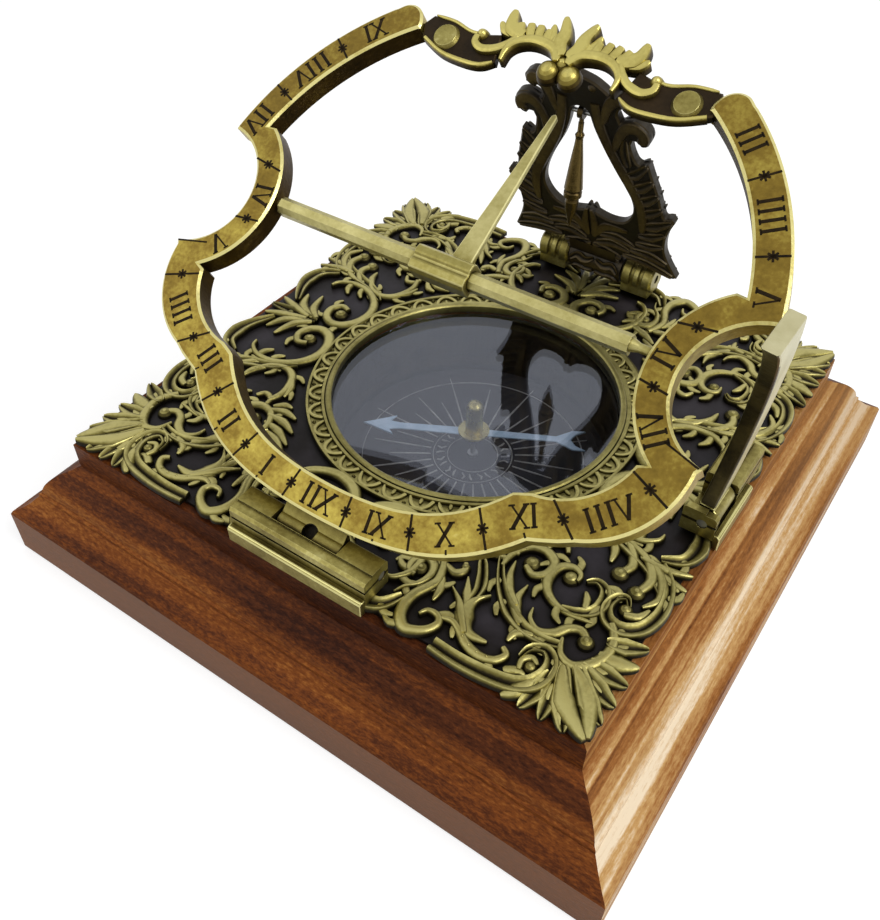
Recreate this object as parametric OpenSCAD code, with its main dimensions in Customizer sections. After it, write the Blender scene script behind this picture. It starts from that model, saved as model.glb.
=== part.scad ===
// Folding table sundial: a square moulded wood base carries a pierced scrollwork plate
// with a sunken compass, a hinged hour ring, a latitude arc and a lyre-shaped plumb stand.
// The origin is the centre of the base's underside. +Z is up and -Y is the ring's hinge side.

/* [Base] */
// Width of the square wood base at its foot
base_w = 140; // [136:1:150]
// Height of the wood base
base_h = 28.2; // [27:0.2:34]
// Height of the upright band round the foot
band_h = 11; // [9:0.5:12]

/* [Plate] */
// Width of the square scrollwork plate
plate_w = 115; // [114:0.5:116]
// Thickness of the dark backing sheet
backing_t = 0.8; // [0.6:0.1:1]
// Thickness of the pierced scrollwork
scroll_t = 1.4; // [1.2:0.1:1.6]

/* [Compass] */
// Radius of the glass that shows inside the bezel
glass_show_r = 30.2; // [29:0.1:30.4]
// Depth of the compass card below the plate's top
card_depth = 18.4; // [17:0.2:19]
// Depth of the needle below the plate's top
needle_depth = 11.3; // [10.5:0.1:12]
// Distance from the pivot to the needle's arrow tip
needle_len = 24.3; // [20:0.1:26]
// Direction of the arrow, measured from +X
needle_turn = 208; // [0:1:359]

/* [Hour ring] */
// Tilt of the ring above the plate
ring_tilt = 35; // [34:0.5:36]
// Outer radius of the upper arms
ring_r = 57.2; // [56.5:0.1:57.6]
// Thickness of the ring
ring_t = 4.4; // [4:0.1:4.6]
// Height of the dial centre above the plate
dial_up = 37.65; // [37.5:0.05:37.8]
// Distance of the dial centre in front of the plate's middle
dial_fwd = 12.65; // [12.5:0.05:12.8]

/* [Gnomon] */
// Length of the gnomon from its pivot axis
gnomon_len = 36.8; // [30:0.2:38]
// Dip of the gnomon below the ring's plane
gnomon_dip = 8.6; // [8:0.2:12]

/* [Latitude arc] */
// Inner radius of the arc
arc_r = 46.4; // [46:0.1:46.6]
// Radial width of the arc
arc_w = 7.6; // [7:0.1:7.8]
// Thickness of the arc
arc_t = 2.8; // [2.4:0.1:2.8]
// Height of the arc's level top above its hinge axis
arc_top = 50.5; // [46:0.5:52]
// Outward lean of the arc
arc_lean = 6.2; // [6:0.1:7]

/* [Plumb stand] */
// Forward lean of the stand
stand_lean = 22; // [20:0.5:24]
// Height of the stand along its own plane
stand_len = 56.4; // [56:0.1:57]
// Thickness of the stand
stand_t = 3; // [2.6:0.1:3.2]
// Length of the plumb bob below its eye
bob_len = 26; // [25:0.5:28]

/* [Hidden] */

$fn = 64;
eps = 0.01;
snug = 0.02;              // radial gap of a pin held in its block
run = 0.05;               // radial gap of a pin that turns
pin_r = 1;
half_plate = plate_w / 2;
half_base = base_w / 2;
backing_z = base_h;
scroll_z = base_h + backing_t;
plate_z = scroll_z + scroll_t;

wood = [0.42, 0.24, 0.13];
brass = [0.72, 0.66, 0.36];
old_brass = [0.6, 0.56, 0.34];
bronze = [0.25, 0.22, 0.16];
slate = [0.28, 0.27, 0.3];
steel = [0.6, 0.66, 0.72];

// Points on an arc about c, from angle a0 to a1 in n steps
function arc_pts(c, r, a0, a1, n) =
    [for (i = [0:n]) let (a = a0 + (a1 - a0) * i / n) c + r * [cos(a), sin(a)]];
// One point of the smooth curve through a, b, c and d, between b and c
function knot(a, b, c, d, t) =
    0.5 * (2 * b + (c - a) * t + (2 * a - 5 * b + 4 * c - d) * t * t
        + (3 * b - a - 3 * c + d) * t * t * t);
// A smooth open curve through hand-chosen points, with n steps between each two
function smooth(p, n) =
    [for (i = [0:len(p) - 2]) for (j = [0:n - 1])
        knot(p[max(i - 1, 0)], p[i], p[i + 1], p[min(i + 2, len(p) - 1)], j / n),
        p[len(p) - 1]];
function flip(p) = [for (q = p) [-q[0], q[1]]];
function backward(p) = [for (i = [len(p) - 1:-1:0]) p[i]];
// Unit normal of a path at its point i
function path_normal(p, i) =
    let (d = p[min(i + 1, len(p) - 1)] - p[max(i - 1, 0)]) [-d[1], d[0]] / norm(d);
// Outline of a band along a path, w0 wide at its start, w1 at mid-length and w2 at its end
function band_outline(p, w0, w1, w2) =
    let (n = len(p) - 1,
         w = [for (i = [0:n]) let (t = i / n)
             (t < 0.5 ? w0 + (w1 - w0) * 2 * t : w1 + (w2 - w1) * (2 * t - 1)) / 2 * stroke_swell])
    concat([for (i = [0:n]) p[i] + w[i] * path_normal(p, i)],
           [for (i = [n:-1:0]) p[i] - w[i] * path_normal(p, i)]);

// Wood base: one moulding profile, mitred round the square
fillet_x = 58;            // upright fillet under the plate
fillet_z = base_h - 6;
ovolo_x = 64.6;           // outer edge of the convex moulding
ovolo_z = base_h - 12.4;
step_z = base_h - 13.4;
slope_z = band_h;         // foot of the hollow slope
function base_profile() = concat(
    [[fillet_x, base_h], [fillet_x, fillet_z], [fillet_x + 0.9, fillet_z - 0.5]],
    smooth([[fillet_x + 1.3, fillet_z - 0.9], [61.9, base_h - 8.2], [63.9, base_h - 10.4],
            [ovolo_x, ovolo_z]], 4),
    [[ovolo_x + 0.5, ovolo_z - 0.2], [ovolo_x + 0.6, step_z]],
    smooth([[ovolo_x + 0.9, step_z - 0.2], [half_base - 2.9, slope_z + 1.9],
            [half_base - 0.8, slope_z + 0.6]], 4),
    [[half_base - 0.4, slope_z + 0.5], [half_base, slope_z - 0.2],
     [half_base, 0.6], [half_base - 0.6, 0]]);
module base_bar()
    rotate([90, 0, 0]) linear_extrude(base_w, center = true)
        polygon(concat(base_profile(), backward(flip(base_profile()))));

well_r = 31.2;
screw_at = 49;
screw_r = 1.5;
module screw_places()
    for (x = [-1, 1], y = [-1, 1]) translate([x * screw_at, y * screw_at, 0]) children();

module wood_base() color(wood) difference() {
    intersection() {
        base_bar();
        rotate([0, 0, 90]) base_bar();
    }
    translate([0, 0, plate_z - bowl_depth]) cylinder(r = well_r, h = bowl_depth);
    screw_places() {
        translate([0, 0, -eps]) cylinder(r = 3.4, h = 6);
        cylinder(r = screw_r + snug, h = base_h + 1);
    }
    hinge_screw_places() translate([0, 0, base_h - hinge_screw_grip])
        cylinder(r = hinge_screw_r + snug, h = hinge_screw_grip + 1);
}

// Wood screws that hold the plate down from below
module plate_screws() color(old_brass) screw_places() {
    translate([0, 0, 3.6]) difference() {
        cylinder(r = 3, h = 2.3);
        translate([-4, -0.4, -eps]) cube([8, 0.8, 0.9]);
    }
    translate([0, 0, 5.8]) cylinder(r = screw_r, h = base_h + backing_t - 5.8 - snug);
}

module plate_backing() color(slate) difference() {
    translate([-half_plate + 1.2, -half_plate + 1.2, backing_z])
        cube([plate_w - 2.4, plate_w - 2.4, backing_t]);
    translate([0, 0, backing_z - 1]) cylinder(r = well_r, h = 3);
    screw_places() translate([0, 0, backing_z - 1]) cylinder(r = screw_r + snug, h = 3);
    hinge_screw_places() translate([0, 0, backing_z - 1]) cylinder(r = hinge_screw_r + snug, h = 3);
}

// Scrollwork of one quarter of the plate, as distances from its middle: points of a stroke,
// then its widths at the start, the middle and the end, which all swell by one share
stroke_swell = 1.2;
border_in = 31.5;
border_out = 35.5;
// Strokes about the middle of a side
side_strokes = [
    // C-scroll with a volute
    [[[49.5, 13.2], [48.9, 15], [46, 16.7], [41.4, 16.4], [37.4, 13.8], [35.3, 9.8], [35.5, 5.6],
      [37.6, 2.5], [40.4, 1.6], [43, 3.2], [43.6, 6], [42, 8]], 1.2, 2.6, 1.4],
    // Leaves of the middle shell
    [[[43.4, 0], [49, 0], [56.6, 0]], 2, 3.4, 0.6],
    [[[44, 0.8], [47.2, 3.6], [48.6, 8.6]], 1.6, 2.2, 0.6],
    [[[45, 0.6], [50, 3.2], [52, 7.4]], 1.6, 2.4, 0.6],
    // Leaf along the edge
    [[[52.4, 4], [55, 8.6], [55.9, 12.6], [54.9, 16.4], [51.4, 18.6]], 1.8, 3.4, 1.4]];
side_beads = [[40.7, 5.6, 1.5]];
// Strokes that fill the rest of a quarter
corner_strokes = [
    // Leaves from the border to the plate's edge
    [[[36.4, 14.6], [41, 17.8], [46.5, 19.6], [51, 22], [55.8, 26.8]], 1.6, 2.8, 0.8],
    [[[44.4, 17.8], [46.6, 20], [47.8, 22.6], [47, 25]], 1.4, 2, 1.6],
    [[[46.6, 18.4], [50, 20.4], [52, 23.8], [51.4, 27]], 1.4, 2.2, 1.6],
    [[[50, 19.6], [53.6, 22.8], [55, 26.6], [53.2, 29.8]], 1.4, 2.2, 0.8],
    [[[48.6, 20.2], [53, 20.2], [57.6, 18.8]], 1.4, 2, 0.6],
    // Round eye beside the border
    [[[43.4, 20.6], [41.2, 17.8], [37.8, 16.6], [35, 18], [33.6, 20.8], [33.2, 23.8], [34, 26.6]],
     1.2, 2, 1.2],
    // Finger leaves against the border
    [[[31.8, 28.8], [28.8, 27.4], [25.6, 27.8]], 1.2, 2, 0.6],
    [[[30.8, 30.2], [27.2, 29.9], [23.4, 31.4]], 1.2, 2.1, 0.6],
    [[[30.2, 32], [26.4, 32.4], [22.2, 34.6]], 1.2, 2.1, 0.6],
    // Volute between border and corner
    [[[29, 36], [29.2, 32.2], [31, 29.3], [34, 28.6], [36.4, 30.3], [36.3, 33], [34.5, 34.6]],
     1.4, 2.1, 1.4],
    // Paired scrolls
    [[[41.6, 31.6], [41.4, 29.9], [39.6, 29.1], [37.6, 30.2], [36.9, 33], [38, 35.8], [40.4, 37.6],
      [43.6, 38.2], [47.8, 37.6]], 1.1, 2.2, 0.8],
    [[[43, 30.6], [44.5, 29.4], [46.5, 30.4], [47.4, 33.2], [46.7, 35.6], [44.7, 37.2], [42, 38]],
     1.1, 2.5, 1.2],
    // Spine along the edge, ending in a volute
    [[[51.5, 31.4], [50.4, 29.8], [48.8, 30.6], [48.3, 33.2], [49.6, 35.5], [52.4, 36.1], [55, 34.2],
      [56.3, 30.6], [56.2, 26.6], [54.8, 22.6], [52, 19.6]], 1.2, 2.9, 1.6],
    // Scroll and cup inward of the corner
    [[[38.2, 40.8], [38.8, 42.8], [41, 44.2], [43.6, 43], [45, 40.9], [47, 40], [48.6, 41]],
     0.8, 2, 1.4],
    [[[45.2, 43.2], [46.4, 46], [49, 46.9], [51.5, 44.9], [52.8, 41.4], [52.2, 38.2], [50.6, 36]],
     1.2, 2.2, 1.4],
    // Large scroll along the other edge
    [[[41.4, 50.4], [42, 48], [44.2, 46.8], [46, 48.2], [46.5, 50.8], [45.4, 53.6], [42.6, 55.5],
      [38, 56.4], [33, 56.7], [28.2, 56.4]], 1.4, 3.1, 2.6],
    [[[26.6, 51.4], [28.4, 50.8], [30.4, 51.7], [32.8, 53.3], [35.8, 54], [38.2, 53.3], [39.3, 51.4]],
     1.2, 2, 1.2],
    // Spray of long leaves
    [[[27.6, 33.8], [30, 38], [32.4, 41], [35.4, 43.6], [39, 45.2], [42.4, 45.5], [45.4, 44.8]],
     1.4, 2.7, 1.6],
    [[[30.6, 34], [31.3, 37], [33, 39.8], [35.6, 42]], 0.8, 1.8, 1.2],
    [[[35, 37.2], [34.8, 40.2], [35.8, 42.6], [38, 44.8]], 0.8, 2.2, 1.4],
    [[[25.4, 36.6], [27.4, 39.8], [28.6, 42.8], [28.6, 45.8]], 1.8, 2.2, 1.2],
    [[[31, 42.8], [29.3, 45], [29, 47.4], [30, 49.8], [32, 51.3], [35.4, 51]], 0.8, 3.6, 0.8],
    // Small scrolls beside the hinge rail
    [[[16.9, 51.6], [17.6, 49.6], [19.2, 47.6], [19.9, 45], [19.2, 42.8], [17.2, 42.1], [15.7, 43.8],
      [16, 46]], 0.8, 2, 1.2],
    [[[23.1, 52.9], [23.9, 51.4], [25.8, 51.3], [26.8, 52.7], [26, 54.6], [24.2, 56], [22.3, 56.4],
      [20.6, 54.9], [19.8, 52.4], [20, 49.8], [21, 47.4], [21.6, 45.2], [20.9, 42.6], [20, 40.8]],
     1.2, 2.3, 1.4],
    [[[16.4, 40.4], [19.6, 39.6], [23, 37.4]], 1.2, 2, 0.8],
    // Shell of leaves at the corner
    [[[51.6, 39.8], [54.6, 38.8], [58, 37]], 1.8, 2.8, 0.6],
    [[[51.6, 42.6], [55, 42.4], [58.2, 41.4]], 1.8, 2.6, 0.6],
    [[[51, 44.8], [54.6, 45.2], [58.2, 45.4]], 1.8, 2.6, 0.6],
    [[[50.2, 46], [54.2, 47.8], [58, 49.6]], 1.8, 2.8, 0.6],
    [[[49.4, 46.8], [53.8, 50.8], [57.6, 53.4]], 1.8, 2.8, 0.6],
    [[[48.8, 47.4], [52.6, 52], [57.4, 57.2]], 2, 4.4, 1],
    [[[48.2, 47.8], [50.6, 52.8], [53.4, 58]], 1.8, 2.8, 0.6],
    [[[47.6, 48.2], [48.8, 53.2], [49.8, 58.2]], 1.8, 2.6, 0.6],
    [[[46.8, 51], [46.8, 55], [46.4, 58.2]], 1.6, 2.4, 0.6]];
corner_beads = [
    [46.8, 25.4, 1.5], [51, 27.6, 1.5], [40.2, 31.2, 1.4], [48.8, 41.6, 1.4], [17.6, 44.5, 1.3]];

module strokes(rows, beads) {
    for (s = rows) polygon(band_outline(smooth(s[0], 2), s[1], s[2], s[3]));
    for (b = beads) translate([b[0], b[1]]) circle(r = b[2], $fn = 12);
}
module scroll_quarter() {
    strokes(corner_strokes, corner_beads);
    strokes(side_strokes, side_beads);
    mirror([1, -1]) strokes(side_strokes, side_beads);
}
module scroll_outline() {
    for (x = [0, 1], y = [0, 1]) mirror([x, 0]) mirror([0, y]) scroll_quarter();
    circle(r = border_out);
}
module scroll_plate() color(old_brass) difference() {
    translate([0, 0, scroll_z]) linear_extrude(scroll_t) scroll_outline();
    translate([0, 0, scroll_z - 1]) cylinder(r = border_in, h = scroll_t + 2);
    hinge_screw_places() translate([0, 0, scroll_z - 1])
        cylinder(r = hinge_screw_r + snug, h = scroll_t + 2);
    ring_rail_place() strip_room(-ring_rail_l / 2, ring_rail_l / 2, ring_rail_front);
    arc_rail_place() strip_room(-arc_rail_l / 2, arc_strip_end, arc_rail_front);
}

// Compass
bowl_depth = 20.2;
bowl_wall = 1;
glass_r = 31;
glass_t = 1.2;
glass_z = plate_z - 1.4 - glass_t;
card_t = 0.78;
card_z = plate_z - card_depth;
needle_z = plate_z - needle_depth;
needle_t = 0.45;

module compass_bowl() color(old_brass) difference() {
    translate([0, 0, plate_z - bowl_depth + snug])
        cylinder(r = glass_r, h = glass_z - plate_z + bowl_depth - 2 * snug);
    translate([0, 0, plate_z - bowl_depth + bowl_wall])
        cylinder(r = glass_r - bowl_wall, h = bowl_depth);
}
// Card with a raised rose: long rays, and a small ring of petals about the pivot
ray_count = 32;
module compass_card() color(slate) difference() {
    union() {
        translate([0, 0, card_z - card_t]) cylinder(r = glass_r - bowl_wall - 0.1, h = card_t);
        for (i = [0:ray_count - 1]) rotate(i * 360 / ray_count)
            translate([8.5, -0.15, card_z - 0.1]) cube([i % 2 == 0 ? 17 : 12, 0.3, 0.3]);
        translate([0, 0, card_z - 0.1]) cylinder(r = 6.2, h = 0.35);
    }
    translate([0, 0, card_z - card_t - 1]) cylinder(r = 1.2 + snug, h = 3);
}
module pivot_post() color(steel) {
    translate([0, 0, plate_z - bowl_depth + bowl_wall + snug])
        cylinder(r = 1.2, h = card_z - plate_z + bowl_depth - bowl_wall + 0.8);
    translate([0, 0, card_z]) cylinder(r = 0.55, h = 13.2);
    translate([0, 0, card_z + 13.2]) cylinder(r1 = 0.55, r2 = 0.1, h = 1.2);
}
module compass_glass() color([0.75, 0.8, 0.85, 0.35])
    translate([0, 0, glass_z]) cylinder(r = glass_r, h = glass_t);
module compass_bezel() color(brass) translate([0, 0, plate_z]) rotate_extrude()
    polygon([[glass_show_r, -1.4], [border_in - 0.1, -1.4], [border_in - 0.1, 0.1],
             [border_in - 0.4, 0.35], [glass_show_r + 0.3, 0.35], [glass_show_r, 0.1]]);

// Needle: a slim bar with a hub, an arrowhead and a forked crescent tail
needle_hub_r = 2.8;
function needle_half() = [
    [-needle_len + 5.6, 3], [-needle_len + 5, 1], [-needle_len + 7, 0.75],
    [-needle_hub_r, 0.75], [-0.75 * needle_hub_r, 0.66 * needle_hub_r], [0, needle_hub_r],
    [0.75 * needle_hub_r, 0.66 * needle_hub_r], [needle_hub_r, 0.75], [needle_len - 6, 0.5],
    [needle_len - 4.2, 1.3], [needle_len - 2.4, 2.6], [needle_len - 0.2, 3.1],
    [needle_len - 2, 1.7], [needle_len - 3.2, 0]];
cap_bore_r = 0.9;
cap_r = 1.9;
cap_flange_r = 3.4;
cap_top = plate_z - 2.8;
module compass_needle() color(steel) translate([0, 0, needle_z - needle_t]) difference() {
    rotate(needle_turn + 180) linear_extrude(needle_t) polygon(concat(
        [[-needle_len, 0]], needle_half(),
        [for (i = [len(needle_half()) - 2:-1:0]) [needle_half()[i][0], -needle_half()[i][1]]]));
    translate([0, 0, -1]) cylinder(r = cap_bore_r, h = 3);
}
module needle_cap() color(brass) difference() {
    union() {
        translate([0, 0, needle_z]) cylinder(r = cap_flange_r, h = 0.5);
        translate([0, 0, needle_z]) cylinder(r = cap_r, h = cap_top - cap_r - needle_z);
        translate([0, 0, cap_top - cap_r]) sphere(r = cap_r);
    }
    translate([0, 0, needle_z - 3]) cylinder(r = cap_bore_r, h = card_z + 14.6 - needle_z + 3);
}

// Ring frame: origin at the dial centre on the ring's top face, +X right, +Y up the slope
module ring_frame()
    translate([0, -dial_fwd, plate_z + dial_up]) rotate([ring_tilt, 0, 0]) children();
// Ring hinge axis
hinge_up = 3;             // from the plate's top to a hinge axis
block_h = 5.75;
block_d = 6.5;
ring_hinge_y = -52.2;
// The hinge axis in the ring's own frame
hinge_dy = ring_hinge_y + dial_fwd;
hinge_dz = hinge_up - dial_up;
hinge_v = hinge_dy * cos(ring_tilt) + hinge_dz * sin(ring_tilt);
hinge_n = -hinge_dy * sin(ring_tilt) + hinge_dz * cos(ring_tilt);

// Half outline of the ring, from the foot's middle round to the horn
notch_c = [57.9, -2];
notch_r = 12.8;
bulge_r = 18.5;
lobe_c = [36.8, -16.1];
lobe_out_r = 17.9;
lobe_in_c = [31.8, -14.4];
lobe_in_r = 14.6;
ring_in_r = 51;
// Height of the foot's outer and inner edges at u
foot_out_v = -48.96;
foot_in_v = -42.7;
function foot_out(u) = foot_out_v + 0.004058 * u * u + 0.00000454 * u * u * u * u;
function foot_in(u) = foot_in_v + 0.005953 * u * u + 0.00000822 * u * u * u * u;
function ring_outer_half() = concat(
    [for (i = [0:14]) let (u = 36 * i / 14) [u, foot_out(u)]],
    [[37.8, -35.4], [40.6, -34.2]],
    arc_pts(lobe_c, lobe_out_r, -70, 2, 12),
    arc_pts(notch_c, notch_r, 258, 98, 16),
    arc_pts([0, 0], ring_r, 11.5, 50, 14),
    [[34.4, 45.4], [32.2, 45.4], [30.6, 44.2], [29.7, 42]]);
function ring_inner_half() = concat(
    [for (i = [0:12]) let (u = 30.4 * i / 12) [u, foot_in(u)]],
    [[31.2, -29.8]],
    arc_pts(lobe_in_c, lobe_in_r, -84, -14, 10),
    arc_pts(notch_c, bulge_r, 236, 124, 14),
    arc_pts([0, 0], ring_in_r, 15, 54, 14));
module ring_outline() polygon(concat(
    ring_outer_half(), backward(ring_inner_half()),
    flip(ring_inner_half()), backward(flip(ring_outer_half()))));

bar_z = -2.3;             // bar axis below the ring's top face
bar_pin_r = 0.8;
bar_pin_hole = 44.2;
module hour_ring() color(brass) ring_frame() difference() {
    translate([0, 0, -ring_t]) linear_extrude(ring_t) ring_outline();
    translate([0, 0, bar_z]) rotate([0, 90, 0])
        cylinder(r = bar_pin_r + run, h = 2 * bar_pin_hole, center = true);
}

// Crest: two arms between the horns, with paired scrolls and leaf spires
crest_t = 1.8;
crest_top = -0.9;
crest_u = 0.8;
function crest_half() = concat(
    [[0, 38.6]],
    smooth([[3, 37.9], [9, 38.2], [13, 37.4], [18, 37.6], [24, 38.4], [29.2, 40.5]], 3),
    [[30.4, 44.3]],
    smooth([[28.4, 45.8], [24, 44.9], [18.5, 43.4], [14.4, 43.8], [14.8, 46.5], [14, 49.8]], 3),
    smooth([[12.6, 47.6], [10.6, 46.6], [8.6, 47.6]], 3),
    smooth([[7.4, 45.9], [5.2, 46.3], [4, 48.4], [3.4, 50.8]], 3),
    [[2.2, 47.4], [1, 45.6], [0, 44.8]]);
crest_holes = [[10.4, 42.4, 2], [3.4, 42.9, 1.6]];
module crest() color(old_brass) ring_frame() difference() {
    translate([0, 0, crest_top - crest_t]) linear_extrude(crest_t) difference() {
        translate([crest_u, 0]) polygon(concat(crest_half(), backward(flip(crest_half()))));
        ring_outline();
        for (h = crest_holes, s = [-1, 1]) translate([crest_u + s * h[0], h[1]]) circle(r = h[2]);
    }
    rivet_places() translate([0, 0, -6]) cylinder(r = rivet_r + snug, h = 8);
}
rivet_u = 24.5;
rivet_v = 41.5;
rivet_r = 1;
module rivet_places() for (s = [-1, 1]) translate([crest_u + s * rivet_u, rivet_v, 0]) children();
module crest_rivets() color(brass) ring_frame() rivet_places() {
    translate([0, 0, crest_top]) cylinder(r1 = 2.7, r2 = 2.2, h = 0.7);
    translate([0, 0, crest_top - crest_t - 0.5]) cylinder(r = rivet_r, h = crest_t + 0.6);
    translate([0, 0, crest_top - crest_t - 0.6]) cylinder(r = 1.7, h = 0.6);
}

// Cross bar, drawn along X in the ring frame, resting against its left end play
bar_left = -38.5;
bar_right = 35.7;
bar_w = 3.3;
module along_x(x0, x1) translate([x0, 0, 0]) rotate([90, 0, 90]) linear_extrude(x1 - x0) children();
// Section of the bar, or of its seat with a gap g all round
module bar_section(g = 0) let (w = bar_w / 2 + g) polygon([
    [-w, -1.3], [-w, 0.5], [-w + 0.9, 1.5 + g], [w - 0.9, 1.5 + g],
    [w, 0.5], [w, -1.3], [w - 0.4, -1.6 - g], [-w + 0.4, -1.6 - g]]);
module cross_bar() color(brass) ring_frame() translate([0, 0, bar_z]) {
    along_x(bar_left, bar_right) bar_section();
    translate([bar_left + 0.1, 0, 0]) rotate([0, -90, 0]) cylinder(r = bar_pin_r, h = 3.6);
    translate([bar_right - 0.1, 0, 0]) rotate([0, 90, 0]) cylinder(r = bar_pin_r, h = 6.4);
    translate([bar_right - 0.1, 0, 0]) rotate([0, 90, 0]) cylinder(r1 = 1.3, r2 = bar_pin_r, h = 1.6);
}
boss_u = -1;
boss_l = 11.8;
boss_w = 5.4;
module boss_section() polygon(concat(
    [[-boss_w / 2, -1.9], [-boss_w / 2, 1]],
    smooth([[-boss_w / 2 + 0.5, 2], [-0.9, 2.3], [0, 1.9], [0.9, 2.3], [boss_w / 2 - 0.5, 2]], 3),
    [[boss_w / 2, 1], [boss_w / 2, -1.9]]));
module gnomon_boss() color(brass) ring_frame() translate([0, 0, bar_z]) difference() {
    along_x(boss_u - boss_l / 2, boss_u + boss_l / 2) boss_section();
    along_x(boss_u - boss_l, boss_u + boss_l) bar_section(snug);
}
blade_root = 4.2;
blade_tip = 1.15;
blade_t = 1.2;
blade_u = 1.15;
blade_start = 2.75;
module gnomon_blade() color(brass) ring_frame() translate([0, 0, bar_z])
    rotate([-gnomon_dip, 0, 0]) translate([blade_u, 0, -blade_t / 2]) linear_extrude(blade_t)
        polygon([[-blade_root / 2, blade_start], [blade_root / 2, blade_start],
                 [blade_tip / 2, gnomon_len - 0.5], [0, gnomon_len],
                 [-blade_tip / 2, gnomon_len - 0.5]]);

// Hinge blocks: a rail with raised lands, a lower front ledge and a groove, drawn along X
// with its hinge axis at y = 0 and its front face at y = -front
gap_floor = 0.35;
ledge_w = 2.3;
ledge_drop = 0.4;
pin_inset = 0.3;
hinge_screw_r = 0.9;
hinge_screw_grip = 7;
screw_rise = 1.6;         // how far a screw enters its block
module rail_section(front) translate([-front, 0]) polygon([
    [0, 0.02], [0, 2.9], [0.45, 2.9], [0.45, 3.4], [0, 3.4],
    [0, block_h - ledge_drop - 0.5], [0.5, block_h - ledge_drop],
    [ledge_w, block_h - ledge_drop], [ledge_w, block_h],
    [block_d - 0.4, block_h], [block_d, block_h - 0.4], [block_d, 0.02]]);
// Rail of length l with a slot over the span gap, cut back from y = slot_y, and screws at x
module hinge_rail(l, front, gap, slot_y, screws) difference() {
    along_x(-l / 2, l / 2) rail_section(front);
    translate([gap[0], slot_y, gap_floor]) cube([gap[1] - gap[0], 2 * block_d, block_h]);
    translate([-l, 0, hinge_up]) rotate([0, 90, 0]) cylinder(r = pin_r + snug, h = 2 * l);
    for (x = screws) translate([x, 0, -1]) cylinder(r = hinge_screw_r + snug, h = screw_rise + 1);
}
strip_d = 1.3;            // how far a strip stands out from its block
module rail_strip(x0, x1, front) along_x(x0, x1) translate([-front - snug, 0]) polygon([
    [-strip_d, -1.9], [-strip_d, 1.1], [-strip_d + 0.4, 1.5], [0, 1.5], [0, -1.9]]);
// Room cut in the scrollwork for a strip
module strip_room(x0, x1, front) translate([x0 - 0.4, -front - 3, -3]) cube([x1 - x0 + 0.8, 3, 4]);
module hinge_pin_x(l) translate([-l / 2 + pin_inset, 0, hinge_up]) rotate([0, 90, 0])
    cylinder(r = pin_r, h = l - 2 * pin_inset);

ring_rail_x = -0.1;
ring_rail_l = 30.2;
ring_rail_front = 4.9;
ring_gap_l = 14.6;
ring_slot_y = -2.5;
ring_screws = [-11.2, 11.2];
arc_hinge_x = 54.5;
arc_rail_y = 1.55;
arc_rail_l = 23;
arc_rail_front = 2.6;
arc_strip_end = 4.5;
arc_screws = [3, 8.4];
module ring_rail_place() translate([ring_rail_x, ring_hinge_y, plate_z]) children();
module arc_rail_place() translate([arc_hinge_x, arc_rail_y, plate_z]) rotate([0, 0, 90]) children();
module hinge_screw_places() {
    for (x = ring_screws) translate([ring_rail_x + x, ring_hinge_y, 0]) children();
    for (y = arc_screws) translate([arc_hinge_x, arc_rail_y + y, 0]) children();
    for (x = stand_screw_x) translate([x, stand_y, 0]) children();
}
module hinge_screws() color(old_brass) hinge_screw_places()
    translate([0, 0, base_h - hinge_screw_grip + 0.5])
        cylinder(r = hinge_screw_r, h = plate_z + screw_rise - 0.1 - base_h + hinge_screw_grip - 0.5);
module ring_hinge_block() color(brass) ring_rail_place() hinge_rail(
    ring_rail_l, ring_rail_front, [-ring_gap_l / 2, ring_gap_l / 2], ring_slot_y, ring_screws);
module ring_hinge_strip() color(brass) ring_rail_place()
    rail_strip(-ring_rail_l / 2, ring_rail_l / 2, ring_rail_front);
module ring_hinge_pin() color(steel) ring_rail_place() hinge_pin_x(ring_rail_l);

// Tongue: a barrel on the ring's hinge pin and a leaf up to the ring's foot
tongue_l = 13.6;
tongue_r = 2.4;
tongue_hole_v = hinge_v + 0.45;
tongue_hole_r = 1.4;
tongue_hole_n = hinge_n + 1.2;
module ring_tongue() color(brass) ring_frame() difference() {
    union() {
        translate([ring_rail_x - tongue_l / 2, hinge_v, hinge_n]) rotate([0, 90, 0])
            cylinder(r = tongue_r, h = tongue_l);
        translate([ring_rail_x, 0, 0]) along_x(-tongue_l / 2, tongue_l / 2) polygon([
            [hinge_v + 1.35, hinge_n + 1.95], [hinge_v, hinge_n], [hinge_v + 2.2, hinge_n - 0.4],
            [foot_out_v - 0.02, -ring_t + 0.2], [foot_out_v - 0.02, -ring_t + 1]]);
    }
    translate([-20, hinge_v, hinge_n]) rotate([0, 90, 0]) cylinder(r = pin_r + run, h = 40);
    translate([ring_rail_x, tongue_hole_v, tongue_hole_n]) cylinder(r = tongue_hole_r, h = 3);
}

// Latitude arc: frame at its hinge axis, leaning outward, with +Y along the axis.
// Its circle is centred at height arc_up over the axis; its foot and its top are cut level.
arc_mid_y = -53;
arc_up = 14;
arc_foot = block_h - hinge_up;
arc_face = 0.7;           // outer face from the hinge axis
function arc_y(r, h) = arc_mid_y + sqrt(r * r - (h - arc_up) * (h - arc_up));
arc_foot_y = [arc_y(arc_r, arc_foot), arc_y(arc_r + arc_w, arc_foot)];
module arc_frame()
    translate([arc_hinge_x, 0, plate_z + hinge_up]) rotate([0, arc_lean, 0]) children();
module latitude_arc() color(brass) arc_frame() along_x(arc_face - arc_t, arc_face) intersection() {
    translate([arc_mid_y, arc_up]) difference() {
        circle(r = arc_r + arc_w, $fn = 180);
        circle(r = arc_r, $fn = 180);
    }
    translate([arc_mid_y, arc_foot]) square([2 * arc_r, arc_top - arc_foot]);
}
arc_barrel_r = 2.3;
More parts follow.
